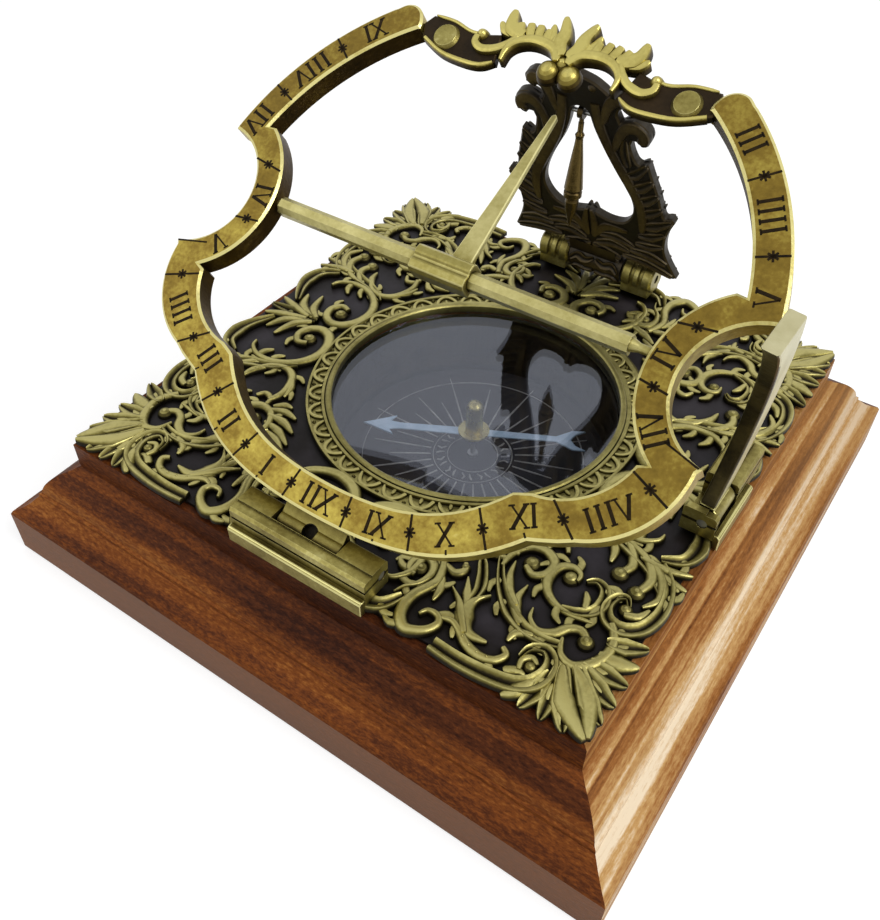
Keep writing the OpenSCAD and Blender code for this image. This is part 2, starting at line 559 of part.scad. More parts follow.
module arc_tongue() color(brass) arc_frame() difference() {
    union() {
        translate([0, arc_foot_y[0], 0]) rotate([-90, 0, 0])
            cylinder(r = arc_barrel_r, h = arc_foot_y[1] - arc_foot_y[0]);
        translate([arc_face - arc_t, arc_foot_y[0], 0.3])
            cube([arc_t, arc_foot_y[1] - arc_foot_y[0], arc_foot - 0.3 - snug]);
    }
    translate([0, -20, 0]) rotate([-90, 0, 0]) cylinder(r = pin_r + run, h = 60);
}
arc_gap = [arc_foot_y[0] - arc_rail_y - 0.5, arc_foot_y[1] - arc_rail_y + 0.5];
module arc_hinge_block() color(brass) arc_rail_place()
    hinge_rail(arc_rail_l, arc_rail_front, arc_gap, -arc_rail_front - 1, arc_screws);
module arc_hinge_strip() color(brass) arc_rail_place()
    rail_strip(-arc_rail_l / 2, arc_strip_end, arc_rail_front);
module arc_hinge_pin() color(steel) arc_rail_place() hinge_pin_x(arc_rail_l);

// Plumb stand: frame at its hinge axis, leaning forward, +Y up the stand
stand_x = -0.9;
stand_y = 54.2;
stand_up = 4;
knuckle_r = 3.5;
knuckle_l = 7.8;
foot_half = 6.8;
knuckle_off = foot_half + 0.3 + knuckle_l / 2;
stand_screw_x = [-knuckle_off, knuckle_off];
module stand_frame()
    translate([stand_x, stand_y, plate_z + stand_up]) rotate([90 + stand_lean, 0, 0]) children();
module stand_knuckles() color(brass) difference() {
    for (x = stand_screw_x) translate([x - knuckle_l / 2, stand_y, plate_z]) {
        translate([0, 0, stand_up]) rotate([0, 90, 0]) rotate_extrude() polygon([
            [0, 0], [knuckle_r - 0.5, 0], [knuckle_r, 0.5], [knuckle_r, 2.2], [knuckle_r - 0.5, 2.5],
            [knuckle_r - 0.5, 3.1], [knuckle_r, 3.4], [knuckle_r, knuckle_l - 3.4],
            [knuckle_r - 0.5, knuckle_l - 3.1], [knuckle_r - 0.5, knuckle_l - 2.5],
            [knuckle_r, knuckle_l - 2.2], [knuckle_r, knuckle_l - 0.5], [knuckle_r - 0.5, knuckle_l],
            [0, knuckle_l]]);
        translate([0.4, -knuckle_r + 0.6, snug]) cube([knuckle_l - 0.8, 2 * knuckle_r - 1.2, stand_up]);
    }
    translate([-40, stand_y, plate_z + stand_up]) rotate([0, 90, 0]) cylinder(r = pin_r + snug, h = 80);
    for (x = stand_screw_x) translate([x, stand_y, plate_z - 1]) cylinder(r = hinge_screw_r + snug, h = 3);
}
stand_pin_l = 2 * (foot_half + 0.3 + knuckle_l) - 0.8;
module stand_hinge_pin() color(steel) translate([-stand_pin_l / 2, stand_y, plate_z + stand_up])
    rotate([0, 90, 0]) cylinder(r = pin_r, h = stand_pin_l);

// Lyre: half outline and half opening, up the stand from its hinge
foot_top = 6.4;
eye_v = 46.2;
function lyre_half() = concat(
    [[0, foot_top]], [[6.4, foot_top]],
    smooth([[9.2, 4.9], [16.5, 4.2], [19.6, 3.4]], 3),
    smooth([[21.2, 4.2], [20.4, 6], [19, 9.4], [18.2, 13], [18.8, 18], [20.6, 22.8]], 3),
    smooth([[20, 23.8], [18.3, 23.4], [17.6, 26], [16.8, 30], [15.8, 33.6], [14.7, 37.8]], 3),
    smooth([[13.2, 37], [12.1, 37.4], [11.2, 39.6], [10.8, 41.8]], 3),
    // Hooked lobe on the shoulder
    smooth([[11.3, 43.2], [12.4, 43.1], [13.3, 42.2], [14.7, 43], [15.2, 45], [14.5, 47.2],
            [12.4, 48.4], [10.2, 47.7], [8.8, 47]], 3),
    // Hooked lobe on the head
    smooth([[8.2, 48.6], [8.6, 50], [9.4, 50.6], [10.2, 50], [11.6, 50.8], [11.9, 52.8],
            [10, 54.3], [8, 54], [6.7, 53.3]], 3),
    smooth([[5.6, 54.2], [3.4, 55.5], [0, stand_len]], 3));
function opening_half() = concat(
    smooth([[0, 18.6], [2.2, 17.6], [5, 17], [8, 17.6], [10, 19.8], [10.9, 23], [10.4, 26.4],
            [8.8, 30.6], [6.8, 34.6], [4.7, 38.6], [3, 43], [2.2, eye_v]], 3),
    arc_pts([0, eye_v], 2.2, 30, 90, 4));
module lyre_shape() difference() {
    polygon(concat(lyre_half(), backward(flip(lyre_half()))));
    polygon(concat(opening_half(), backward(flip(opening_half()))));
}
module lyre_stand() color(bronze) stand_frame() difference() {
    translate([0, 0, -stand_t / 2]) linear_extrude(stand_t) lyre_shape();
    translate([0, eye_v, 0]) rotate([0, 90, 0]) cylinder(r = 0.5 + snug, h = 8, center = true);
}
module stand_foot() color(bronze) stand_frame() difference() {
    union() {
        translate([-stand_x, 0, 0]) rotate([0, 90, 0])
            cylinder(r = knuckle_r - 0.3, h = 2 * foot_half, center = true);
        translate([-6, 0, -stand_t / 2]) cube([12, foot_top - snug, stand_t]);
    }
    rotate([0, 90, 0]) cylinder(r = pin_r + run, h = 40, center = true);
}

// Plumb bob: hangs from a pin across the eye of the lyre
bob_at = [stand_x, stand_y - eye_v * sin(stand_lean), plate_z + stand_up + eye_v * cos(stand_lean)];
module bob_pin() color(steel) stand_frame() translate([0, eye_v, 0]) rotate([0, 90, 0])
    cylinder(r = 0.5, h = 6, center = true);
module bob_eye() color(brass) translate(bob_at) difference() {
    union() {
        rotate([0, 90, 0]) cylinder(r = 1.4, h = 1.2, center = true);
        translate([0, 0, -2.2]) cylinder(r = 0.5, h = 1.2);
    }
    rotate([0, 90, 0]) cylinder(r = 0.5 + run, h = 3, center = true);
}
collar_z = 15.8;
module plumb_bob() color(brass) translate(bob_at + [0, 0, -2.2 - snug]) rotate([180, 0, 0])
    rotate_extrude() polygon(concat(
        [[0, 0], [0.6, 0], [0.6, 2], [1, 2.6], [0.8, 3.4]],
        smooth([[0.9, 4.6], [1.4, 8.6], [2, collar_z - 1.4]], 3),
        [[1.7, collar_z - 0.9], [1.95, collar_z - 0.6], [1.95, collar_z + 0.4], [1.4, collar_z + 0.8]],
        smooth([[1.5, collar_z + 1.6], [1.2, collar_z + 4], [0.6, bob_len - 4.2],
                [0.3, bob_len - 3], [0, bob_len - 2.2]], 3)));

wood_base();
plate_screws();
plate_backing();
scroll_plate();
compass_bowl();
compass_card();
pivot_post();
compass_glass();
compass_bezel();
compass_needle();
needle_cap();
ring_hinge_block();
ring_hinge_strip();
ring_hinge_pin();
ring_tongue();
hour_ring();
crest();
crest_rivets();
cross_bar();
gnomon_boss();
gnomon_blade();
arc_hinge_block();
arc_hinge_strip();
arc_hinge_pin();
arc_tongue();
latitude_arc();
stand_knuckles();
stand_hinge_pin();
stand_foot();
lyre_stand();
bob_pin();
bob_eye();
plumb_bob();
hinge_screws();
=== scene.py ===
"""Looks of a folding table sundial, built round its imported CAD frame.

Lengths are in millimetres, in the CAD's own frame, and MM turns them into metres. The room and its
lamps are placed in metres. Noise scales are per metre.
"""

from math import cos, pi, radians, sin

import bpy
import numpy as np
from mathutils import Matrix, Vector, geometry


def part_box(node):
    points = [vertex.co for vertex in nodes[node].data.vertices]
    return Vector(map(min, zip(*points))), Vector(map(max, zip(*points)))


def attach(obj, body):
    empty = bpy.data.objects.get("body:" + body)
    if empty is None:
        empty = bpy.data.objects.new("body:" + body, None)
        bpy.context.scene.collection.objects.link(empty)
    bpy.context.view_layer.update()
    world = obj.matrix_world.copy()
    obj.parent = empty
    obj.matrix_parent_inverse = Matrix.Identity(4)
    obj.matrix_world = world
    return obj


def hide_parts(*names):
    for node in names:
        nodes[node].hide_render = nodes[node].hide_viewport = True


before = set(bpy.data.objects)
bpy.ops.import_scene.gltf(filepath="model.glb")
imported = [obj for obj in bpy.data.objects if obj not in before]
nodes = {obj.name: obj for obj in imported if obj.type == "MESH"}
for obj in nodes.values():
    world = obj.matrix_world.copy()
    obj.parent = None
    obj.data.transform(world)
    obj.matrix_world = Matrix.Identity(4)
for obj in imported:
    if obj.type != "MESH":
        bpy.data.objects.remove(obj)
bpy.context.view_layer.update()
scene = bpy.context.scene

MM = 0.001
WHITE = (1, 1, 1, 1)


def box_mm(node):
    """Lowest and highest corner of a CAD node, in millimetres."""
    low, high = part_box(node)
    return low / MM, high / MM


PLATE_HALF = 57.5
PLATE_Z = box_mm("scroll_plate")[1].z
SCROLL_T = PLATE_Z - box_mm("plate_backing")[1].z
CARD = Matrix.Translation((0, 0, box_mm("compass_card")[1].z - 0.2))


def leaning(origin, degrees):
    """Local frame of a part that leans about a line along X."""
    return Matrix.Translation(origin) @ Matrix.Rotation(radians(degrees), 4, Vector((1, 0, 0)))


RING = leaning((0, -12.65, 68.05), 35)
STAND = leaning((-0.9, 54.2, 34.4), 112)
PLATE = Matrix.Translation((0, 0, PLATE_Z))
# A hole in the ring's tongue, just above the hinge pin, shown only as painted shade: a black spot
TONGUE_HOLE = sum(box_mm("ring_hinge_pin"), Vector()) / 2 + RING.to_3x3() @ Vector((0, 0.45, 1.2))
HOLE_REACH = 1.82
# The dark line round a hinge rail, above the plate
RAIL_GROOVE = 3.15


# Curves

def smooth(points, steps=5):
    """A smooth open curve through given points."""
    p = np.array(points, float)
    if len(p) < 3:
        return p
    ends = np.vstack([p[0], p, p[-1]])
    out = []
    for i in range(len(p) - 1):
        a, b, c, d = ends[i : i + 4]
        for j in range(steps):
            t = j / steps
            out.append(0.5 * (2 * b + (c - a) * t + (2 * a - 5 * b + 4 * c - d) * t**2
                              + (3 * b - a - 3 * c + d) * t**3))
    out.append(p[-1])
    return np.array(out)


def arc(centre, radius, start, end, steps):
    """Points on an arc, with its angles in degrees."""
    a = np.radians(np.linspace(start, end, steps + 1))
    return np.stack([centre[0] + radius * np.cos(a), centre[1] + radius * np.sin(a)], 1)


def unit(vectors):
    return vectors / np.maximum(np.linalg.norm(vectors, axis=1, keepdims=True), 1e-9)


def circle(steps):
    """A closed circle of radius 1, its last point the same as its first."""
    return arc((0, 0), 1, 0, 360, steps)


def side_normals(path):
    """Unit normals of a path, to its left."""
    d = unit(np.gradient(path, axis=0))
    return np.stack([-d[:, 1], d[:, 0]], 1)


def flip(points):
    return points * [-1, 1]


def spoke(step, count):
    """Unit vectors outward and sideways, at one step of a full turn."""
    a = 2 * pi * step / count
    return np.array([cos(a), sin(a)]), np.array([-sin(a), cos(a)])


# Shapes

def put(name, data):
    """A new object in the scene."""
    obj = bpy.data.objects.new(name, data)
    scene.collection.objects.link(obj)
    return obj


class Shape:
    """Points and faces in a local frame. wear is 0 in the dark hollows and 1 on edges worn bright, and it
    also carries the painted highlight of walls that the light falls on.
    """

    def __init__(self):
        self.points = []
        self.faces = []
        self.wear = []

    def add(self, points, faces, wear):
        """wear is one value for each point, or one for each face."""
        start = len(self.points)
        self.points.extend(points)
        per_point = len(wear) == len(points) and len(wear) != len(faces)
        for i, face in enumerate(faces):
            self.faces.append([start + v for v in face])
            self.wear.append([wear[v] for v in face] if per_point else [wear[i]] * len(face))

    def make(self, name, body, material, place, sharp=38):
        """Turns the shape into a piece that rides on a body."""
        mesh = bpy.data.meshes.new(name)
        matrix = Matrix.Scale(MM, 4) @ place
        mesh.from_pydata([matrix @ Vector(p) for p in self.points], [], self.faces)
        layer = mesh.attributes.new("wear", "FLOAT", "CORNER")
        layer.data.foreach_set("value", [w for face in self.wear for w in face])
        mesh.polygons.foreach_set("use_smooth", [True] * len(mesh.polygons))
        mesh.update()
        mesh.set_sharp_from_angle(angle=radians(sharp))
        mesh.materials.append(material)
        piece = put(name, mesh)
        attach(piece, body)
        return piece


# Cross-sections of a raised stroke: share of its half-width, share of its height
ROUND = [(-1, 0), (-0.98, 0.6), (-0.8, 0.93), (-0.35, 1), (0.35, 1), (0.8, 0.93), (0.98, 0.6), (1, 0)]
DOMED = [(-1, 0), (-0.96, 0.5), (-0.72, 0.84), (-0.34, 1), (0.34, 1), (0.72, 0.84), (0.96, 0.5), (1, 0)]
FLUTED = [(-1, 0), (-0.98, 0.66), (-0.78, 1), (-0.42, 0.9), (0, 0.4), (0.42, 0.9), (0.78, 1),
          (0.98, 0.66), (1, 0)]
BEVELLED = [(-1, 0), (-1, 0.7), (-0.7, 1), (0.7, 1), (1, 0.7), (1, 0)]
FLAT_TOP = [(-1, 0), (-1, 1), (1, 1), (1, 0)]


def tube(rings, sides):
    """Faces of a tube, between rings of points that follow each other."""
    faces = []
    for k in range(rings - 1):
        for i in range(sides):
            j = (i + 1) % sides
            faces.append([k * sides + i, k * sides + j, (k + 1) * sides + j, (k + 1) * sides + i])
    return faces


def stroke(shape, path, widths, z0, z1, section=ROUND, drop=0.0, wear=1.0):
    """A raised stroke along a path, from z0 up to z1, lower by drop at its far end."""
    count = len(path)
    t = np.linspace(0, 1, count)
    half = np.interp(t, [0, 0.12, 0.5, 0.88, 1], [0.55 * widths[0], widths[0], widths[1],
                                                 0.35 * widths[1] + 0.65 * widths[2], widths[2]]) / 2
    rise = (z1 - z0) * (1 - drop * t**2)
    side = side_normals(path)
    points, shade = [], []
    for i in range(count):
        for x, h in section:
            p = path[i] - side[i] * x * half[i]
            points.append((p[0], p[1], z0 + rise[i] * h))
            shade.append(wear * (0.04 + 0.96 * h * h))
    n = len(section)
    ends = [range(n - 1, -1, -1), range((count - 1) * n, count * n)]
    shape.add(points, tube(count, n) + ends, shade)


def bead(shape, x, y, r, z0, z1, wear=1.0, rings=4, sides=14):
    """A low round bead."""
    points, shade = [], []
    for k in range(rings):
        a = pi / 2 * k / (rings - 0.5)
        for s in range(sides):
            b = 2 * pi * s / sides
            points.append((x + r * cos(a) * cos(b), y + r * cos(a) * sin(b), z0 + (z1 - z0) * sin(a)))
            shade.append(wear * (0.15 + 0.85 * sin(a)))
    top = (rings - 1) * sides
    cap = [(top + s, top + (s + 1) % sides, rings * sides) for s in range(sides)]
    faces = tube(rings, sides) + cap + [range(sides - 1, -1, -1)]
    shape.add(points + [(x, y, z1)], faces, shade + [wear])


def inset(loop, distance):
    """A closed loop moved to its left, into the solid."""
    before = unit(loop - np.roll(loop, 1, 0))
    after = unit(np.roll(loop, -1, 0) - loop)
    mean = unit(before + after)
    slant = np.maximum(np.abs((mean * before).sum(1)), 0.6)
    return loop + np.stack([-mean[:, 1], mean[:, 0]], 1) * (distance / slant)[:, None]


def area(loop):
    x, y = loop[:, 0], loop[:, 1]
    return 0.5 * np.sum(x * np.roll(y, -1) - y * np.roll(x, -1))


def slab(shape, loops, z0, z1, chamfer, wears, both=False, lit_walls=()):
    """A flat plate: its outline, then its holes. wears are of the walls, chamfers and faces.

    The edges of the outline listed in its last argument get bright walls: a painted highlight where the
    light falls on them.
    """
    loops = [q if (area(q) > 0) == (i == 0) else q[::-1] for i, q in enumerate(loops)]
    low = chamfer * 0.8 if both else 0.0
    levels = [(z0, low), (z0 + low, 0.0), (z1 - chamfer * 0.8, 0.0), (z1, chamfer)]
    if not both:
        levels = levels[1:]
    caps = {0: [], len(levels) - 1: []}
    for number, q in enumerate(loops):
        rings = [inset(q, d) if d else q for _, d in levels]
        points = [(p[0], p[1], z) for ring, (z, _) in zip(rings, levels) for p in ring]
        shade = []
        for (_, d), (_, next_d) in zip(levels, levels[1:]):
            for i in range(len(q)):
                # painted highlight on the walls that the light falls on
                bright = number == 0 and i in lit_walls
                shade.append(wears[1] if d != next_d else 0.75 if bright else wears[0])
        shape.add(points, tube(len(levels), len(q)), shade)
        for k in caps:
            caps[k].append(rings[k])
    for k, rings in caps.items():
        flat = np.vstack(rings)
        triangles = geometry.tessellate_polygon([[Vector((p[0], p[1], 0)) for p in r] for r in rings])
        triangles = [t if (area(flat[list(t)]) > 0) == (k > 0) else (t[0], t[2], t[1]) for t in triangles]
        points = [(p[0], p[1], levels[k][0]) for p in flat]
        shape.add(points, triangles, [wears[2] if k else wears[0]] * len(triangles))


# Materials

def linear(rgb):
    """A colour given as 0 to 255, as light."""
    c = np.array(rgb, float) / 255
    c = np.where(c <= 0.04045, c / 12.92, ((c + 0.055) / 1.055) ** 2.4)
    return (*c, 1.0)


class Nodes:
    """The nodes of a material, or of the world, and short ways to add to them."""

    def __init__(self, name, kind="materials", shader="Principled BSDF", **sockets):
        self.data = getattr(bpy.data, kind).new(name)
        self.data.use_nodes = True
        self.tree = self.data.node_tree
        self.shader = self.tree.nodes[shader]
        for key, value in sockets.items():
            self.set(key.replace("_", " "), value)

    def set(self, key, value):
        self.plug(value, self.shader.inputs[key])

    def plug(self, value, socket):
        if isinstance(value, bpy.types.NodeSocket):
            self.tree.links.new(value, socket)
        else:
            socket.default_value = value

    def add(self, kind, inputs=(), **settings):
        node = self.tree.nodes.new("ShaderNode" + kind)
        for key, value in settings.items():
            setattr(node, key, value)
        for key, value in dict(inputs).items():
            self.plug(value, node.inputs[key])
        return node

    def surface(self, kind, inputs):
        """Another shader in place of the usual one."""
        self.tree.nodes.remove(self.shader)
        self.plug(self.add(kind, inputs).outputs[0], self.tree.nodes["Material Output"].inputs["Surface"])

    def where(self, kind="Object"):
        """Coordinates on the object, in metres, or its normal."""
        return self.add("TexCoord").outputs[kind]

    def split(self, vector):
        return self.add("SeparateXYZ", {0: vector}).outputs

    def noise(self, vector, scale, detail=4.0, rough=0.55):
        inputs = {"Vector": vector, "Scale": scale, "Detail": detail, "Roughness": rough}
        return self.add("TexNoise", inputs).outputs["Fac"]

    def open_air(self, reach):
        """How little closes a spot in, from 0 to 1."""
        return self.add("AmbientOcclusion", {"Distance": reach}, samples=6).outputs["AO"]

    def math(self, operation, a, b=0.0, clamp=False):
        return self.add("Math", {0: a, 1: b}, operation=operation, use_clamp=clamp).outputs[0]

    def stir(self, level, *parts):
        """A level from 0 to 1, moved by noises: each a noise and its share."""
        for noise, share in parts:
            move = self.math("MULTIPLY", self.math("SUBTRACT", noise, 0.5), share)
            level = self.math("ADD", level, move)
        return self.math("ADD", level, clamp=True)

    def span(self, value, low, high, start=0.0, end=1.0):
        """value from start to end, as low to high."""
        inputs = {"Value": value, "From Min": start, "From Max": end, "To Min": low, "To Max": high}
        return self.add("MapRange", inputs).outputs["Result"]

    def grade(self, value, stops):
        """value as a colour, from stops with a place and a colour as light."""
        node = self.add("ValToRGB", {"Fac": value})
        elements = node.color_ramp.elements
        while len(elements) < len(stops):
            elements.new(0.5)
        for element, (at, light) in zip(elements, stops):
            element.position = at
            element.color = light
        return node.outputs["Color"]

    def ramp(self, value, stops):
        """The same, from colours given as 0 to 255."""
        return self.grade(value, [(at, linear(rgb)) for at, rgb in stops])

    def mix(self, share, a, b):
        return self.add("Mix", {0: share, 6: a, 7: b}, data_type="RGBA").outputs[2]

    def bump(self, height, distance, strength=1.0):
        inputs = {"Height": height, "Distance": distance, "Strength": strength}
        self.set("Normal", self.add("Bump", inputs).outputs["Normal"])


def brass(name, stops, blotch=0.28, rough=(0.32, 0.52), metal=0.85, flat_wear=None, groove=None,
          near=0.0, pit=None):
    """Aged brass: dark in its hollows, worn bright on its edges, with spots of tarnish.

    A CAD node has no wear of its own: flat_wear stands for it, darker in closed corners, partly as patina
    and partly as painted shade. groove is the height of a dark line round a rail, near is a painted
    highlight toward the hinge edge, where the light falls, and pit is the middle of a hole shown as
    painted shade.
    """
    m = Nodes(name, Metallic=metal)
    where = m.where()
    broad = m.noise(where, 22, 2)
    soft = m.noise(where, 170, 5)
    fine = m.noise(where, 1300, 3)
    if flat_wear is None:
        base = m.add("Attribute", attribute_name="wear").outputs["Fac"]
    else:
        # darker where the part is closed in: partly patina, partly painted shade
        base = m.math("SUBTRACT", flat_wear + 0.12, m.span(m.open_air(2.5 * MM), 0.75, 0.0))
    if groove is not None:
        height = m.math("SUBTRACT", m.split(where)["Z"], groove * MM)
        inside = m.math("LESS_THAN", m.math("ABSOLUTE", height), 0.3 * MM)
        base = m.math("MULTIPLY", base, m.span(inside, 1.0, 0.15))
    # painted shade of a hole: black within its reach
    if pit is not None:
        apart = m.add("VectorMath", {0: where, 1: pit * MM}, operation="DISTANCE").outputs["Value"]
        inside = m.math("LESS_THAN", apart, HOLE_REACH * MM)
        base = m.math("MULTIPLY", base, m.span(inside, 1.0, 0.0))
    # painted highlight: brighter toward the hinge edge, where the light falls
    if near:
        base = m.math("ADD", base, m.span(m.split(where)["Y"], near, 0.0, -56 * MM, -12 * MM))
    level = m.stir(base, (broad, blotch * 0.5), (soft, blotch * 2.0), (fine, blotch))
    m.set("Base Color", m.ramp(level, stops))
    m.set("Roughness", m.span(level, rough[1], rough[0]))
    m.bump(m.math("ADD", soft, m.math("MULTIPLY", fine, 0.5)), 0.0002, 0.5)
    return m.data


RING_HUES = [(0.0, (24, 15, 2)), (0.3, (66, 48, 10)), (0.6, (124, 102, 38)), (0.8, (170, 152, 68)),
              (1.0, (214, 204, 136))]
SCROLL_HUES = [(0.0, (6, 4, 1)), (0.4, (36, 30, 10)), (0.75, (104, 96, 46)), (1.0, (176, 167, 106))]
CREST_HUES = [(0.0, (14, 9, 2)), (0.35, (62, 48, 14)), (0.7, (134, 120, 54)), (1.0, (192, 180, 104))]
BRONZE_HUES = [(0.0, (8, 6, 1)), (0.4, (34, 26, 8)), (0.75, (64, 51, 22)), (1.0, (106, 90, 46))]
HINGE_HUES = [(0.0, (14, 10, 2)), (0.3, (56, 46, 14)), (0.62, (114, 103, 50)), (0.8, (152, 142, 80)),
               (1.0, (204, 196, 134))]
BAR_HUES = [(0.0, (20, 15, 4)), (0.3, (84, 72, 30)), (0.6, (146, 136, 74)), (1.0, (216, 208, 148))]
PALE_HUES = [(0.0, (30, 24, 10)), (0.3, (104, 93, 55)), (0.6, (168, 161, 116)), (1.0, (220, 214, 176))]
BOB_HUES = [(0.0, (14, 10, 3)), (0.4, (50, 38, 14)), (0.7, (92, 76, 36)), (1.0, (176, 154, 90))]
DARK_HUES = [(0.0, (16, 11, 4)), (0.5, (48, 36, 20)), (0.8, (78, 64, 36)), (1.0, (146, 130, 80))]

# the ring gets a painted highlight toward its hinge edge
ring_brass = brass("ring_brass", RING_HUES, near=0.07)
scroll_brass = brass("scroll_brass", SCROLL_HUES, blotch=0.2, rough=(0.36, 0.6))
crest_brass = brass("crest_brass", CREST_HUES, blotch=0.2)
dark_ground = brass("dark_ground", DARK_HUES, blotch=0.35)
dark_bronze = brass("dark_bronze", BRONZE_HUES, blotch=0.25, rough=(0.35, 0.55), metal=0.5)
foot_bronze = brass("foot_bronze", BRONZE_HUES, blotch=0.25, metal=0.5, flat_wear=0.5)
hinge_brass = brass("hinge_brass", HINGE_HUES, flat_wear=0.62)
# the tongue's hole is a black spot of painted shade
tongue_brass = brass("tongue_brass", HINGE_HUES, blotch=0.2, flat_wear=0.62, pit=TONGUE_HOLE)
rail_brass = brass("rail_brass", HINGE_HUES, flat_wear=0.62, groove=PLATE_Z + RAIL_GROOVE)
bar_brass = brass("bar_brass", BAR_HUES, blotch=0.2, flat_wear=0.64)
boss_brass = brass("boss_brass", BAR_HUES, blotch=0.2, flat_wear=0.5)
pale_brass = brass("pale_brass", BAR_HUES, blotch=0.15, flat_wear=0.9)
bright_edge = brass("bright_edge", HINGE_HUES, blotch=0.15, rough=(0.25, 0.4), flat_wear=0.95)
bezel_brass = brass("bezel_brass", SCROLL_HUES, blotch=0.15, flat_wear=0.74)
bob_brass = brass("bob_brass", BOB_HUES, blotch=0.2, rough=(0.2, 0.35), flat_wear=0.5)
hidden_brass = brass("hidden_brass", DARK_HUES, flat_wear=0.5)


def arc_brass():
    """The latitude arc: pale on its flat sides and top, and dark along its hollow side, which faces the
    front, as painted shade.
    """
    m = Nodes("arc_brass", Metallic=0.7, Roughness=0.38)
    where = m.where()
    # painted shade on the hollow side, whose faces turn to the front
    hollow = m.math("LESS_THAN", m.split(m.where("Normal"))["Y"], -0.3)
    level = m.stir(m.span(hollow, 0.72, 0.1), (m.noise(where, 120, 5), 0.7))
    m.set("Base Color", m.ramp(level, PALE_HUES))
    m.bump(m.noise(where, 900, 3), 0.00015, 0.4)
    return m.data


# Painted light and shade in bands along the wood's moulding, from the plate's edge out to the foot: place
# and brightness
WOOD_LIGHT_BANDS = [(0.0, 0.3), (0.1, 0.5), (0.17, 0.5), (0.2, 0.24), (0.4, 0.3), (0.52, 0.7), (0.74, 0.66),
              (0.84, 0.46)]
DARK_WOOD = [(0.2, (46, 20, 9)), (0.42, (80, 41, 19)), (0.62, (118, 64, 26)), (0.85, (162, 102, 46))]
TAN_WOOD_AND_SHEEN = [(0.16, (86, 46, 20)), (0.36, (144, 93, 46)), (0.54, (186, 146, 92)), (0.74, (226, 207, 178))]
WOOD_HALF, WOOD_FOOT = 70, 10.8


def wood():
    """Four mitred lengths of varnished hardwood: red-brown at the hinge side, tan at its right, where it
    is partly painted light and sheen.
    """
    m = Nodes("varnished_wood", Roughness=0.45, Specular_IOR_Level=0.05, Coat_Weight=0.03,
              Coat_Roughness=0.2)
    x, y, z = m.split(m.where())
    x_reach, y_reach = m.math("ABSOLUTE", x), m.math("ABSOLUTE", y)
    on_x = m.math("GREATER_THAN", x_reach, y_reach)
    along = m.add("Mix", {0: on_x, 2: x, 3: y}).outputs[0]
    across = m.add("Mix", {0: on_x, 2: y, 3: x}).outputs[0]

    def grain(share, scale, detail, rough=0.55):
        """Noise drawn out along the wood."""
        place = m.add("CombineXYZ", {0: m.math("MULTIPLY", along, share), 1: across, 2: z})
        return m.noise(place.outputs[0], scale, detail, rough)

    specks = grain(0.35, 1900, 3, 0.7)
    streaks = grain(0.035, 420, 4, 0.6)
    broad = grain(0.4, 34, 2)
    # painted light and shade across the moulding: a highlight line, shaded coves and a sheen on its slope
    outward = m.span(m.math("MAXIMUM", x_reach, y_reach), 0.0, 1.0, 58 * MM, WOOD_HALF * MM)
    band = m.grade(outward, [(at, (level, level, level, 1)) for at, level in WOOD_LIGHT_BANDS])

    warm = m.span(x, 0.36, 0.08, -WOOD_HALF * MM, 10 * MM)
    start = m.math("ADD", m.math("ADD", warm, m.math("MULTIPLY", band, 0.6)), 0.06)
    dark = m.ramp(m.stir(start, (specks, 0.8), (streaks, 0.35), (broad, 0.8)), DARK_WOOD)
    foot = m.math("MULTIPLY", m.math("LESS_THAN", z, WOOD_FOOT * MM), 0.6)
    dark = m.mix(foot, dark, linear((136, 94, 64)))
    tan = m.ramp(m.stir(band, (specks, 0.35), (streaks, 1.1), (broad, 0.5)), TAN_WOOD_AND_SHEEN)
    # the painted sheen of the right side fades toward its far end
    far = m.span(y, 0.0, 0.5, -10 * MM, WOOD_HALF * MM)
    tan = m.mix(far, tan, linear((152, 112, 62)))
    # the right side is lighter partly by its own tone and partly by painted light and sheen, as lit from
    # the right
    right = m.math("MULTIPLY", on_x, m.math("GREATER_THAN", x))
    m.set("Base Color", m.mix(right, dark, tan))
    m.bump(specks, 0.0002, 0.4)
    return m.data


def slate():
    """The dark sheet under the scrollwork, near black with painted shade close to the relief."""
    m = Nodes("slate_sheet", Metallic=0.1, Roughness=0.42, Specular_IOR_Level=0.15)
    sheet = m.ramp(m.noise(m.where(), 90), [(0.35, (22, 18, 18)), (0.7, (52, 48, 53))])
    # painted shade: the sheet turns near black where the relief closes it in
    open_air = m.span(m.open_air(3 * MM), 0.0, 1.0, 0.6, 0.95)
    m.set("Base Color", m.mix(open_air, linear((10, 7, 3)), sheet))
    return m.data


def card():
    """The compass card: very dark, with a bluer middle."""
    m = Nodes("card_dark", Roughness=0.6, Specular_IOR_Level=0.2)
    where = m.where()
    reach = m.add("VectorMath", {0: where}, operation="LENGTH").outputs["Value"]
    level = m.stir(m.math("MULTIPLY", reach, 22), (m.noise(where, 160), 0.5))
    m.set("Base Color", m.ramp(level, [(0.1, (62, 62, 66)), (0.6, (46, 44, 44)), (1.0, (32, 29, 26))]))
    return m.data


def metal(name, low, high, scale=400, rough=(0.25, 0.4), detail=4, **sockets):
    """A plain metal, ink or paint with a faint variation."""
    m = Nodes(name, **sockets)
    cloud = m.noise(m.where(), scale, detail)
    m.set("Base Color", m.ramp(cloud, [(0.3, low), (0.7, high)]))
    m.set("Roughness", m.span(cloud, *rough))
    return m.data


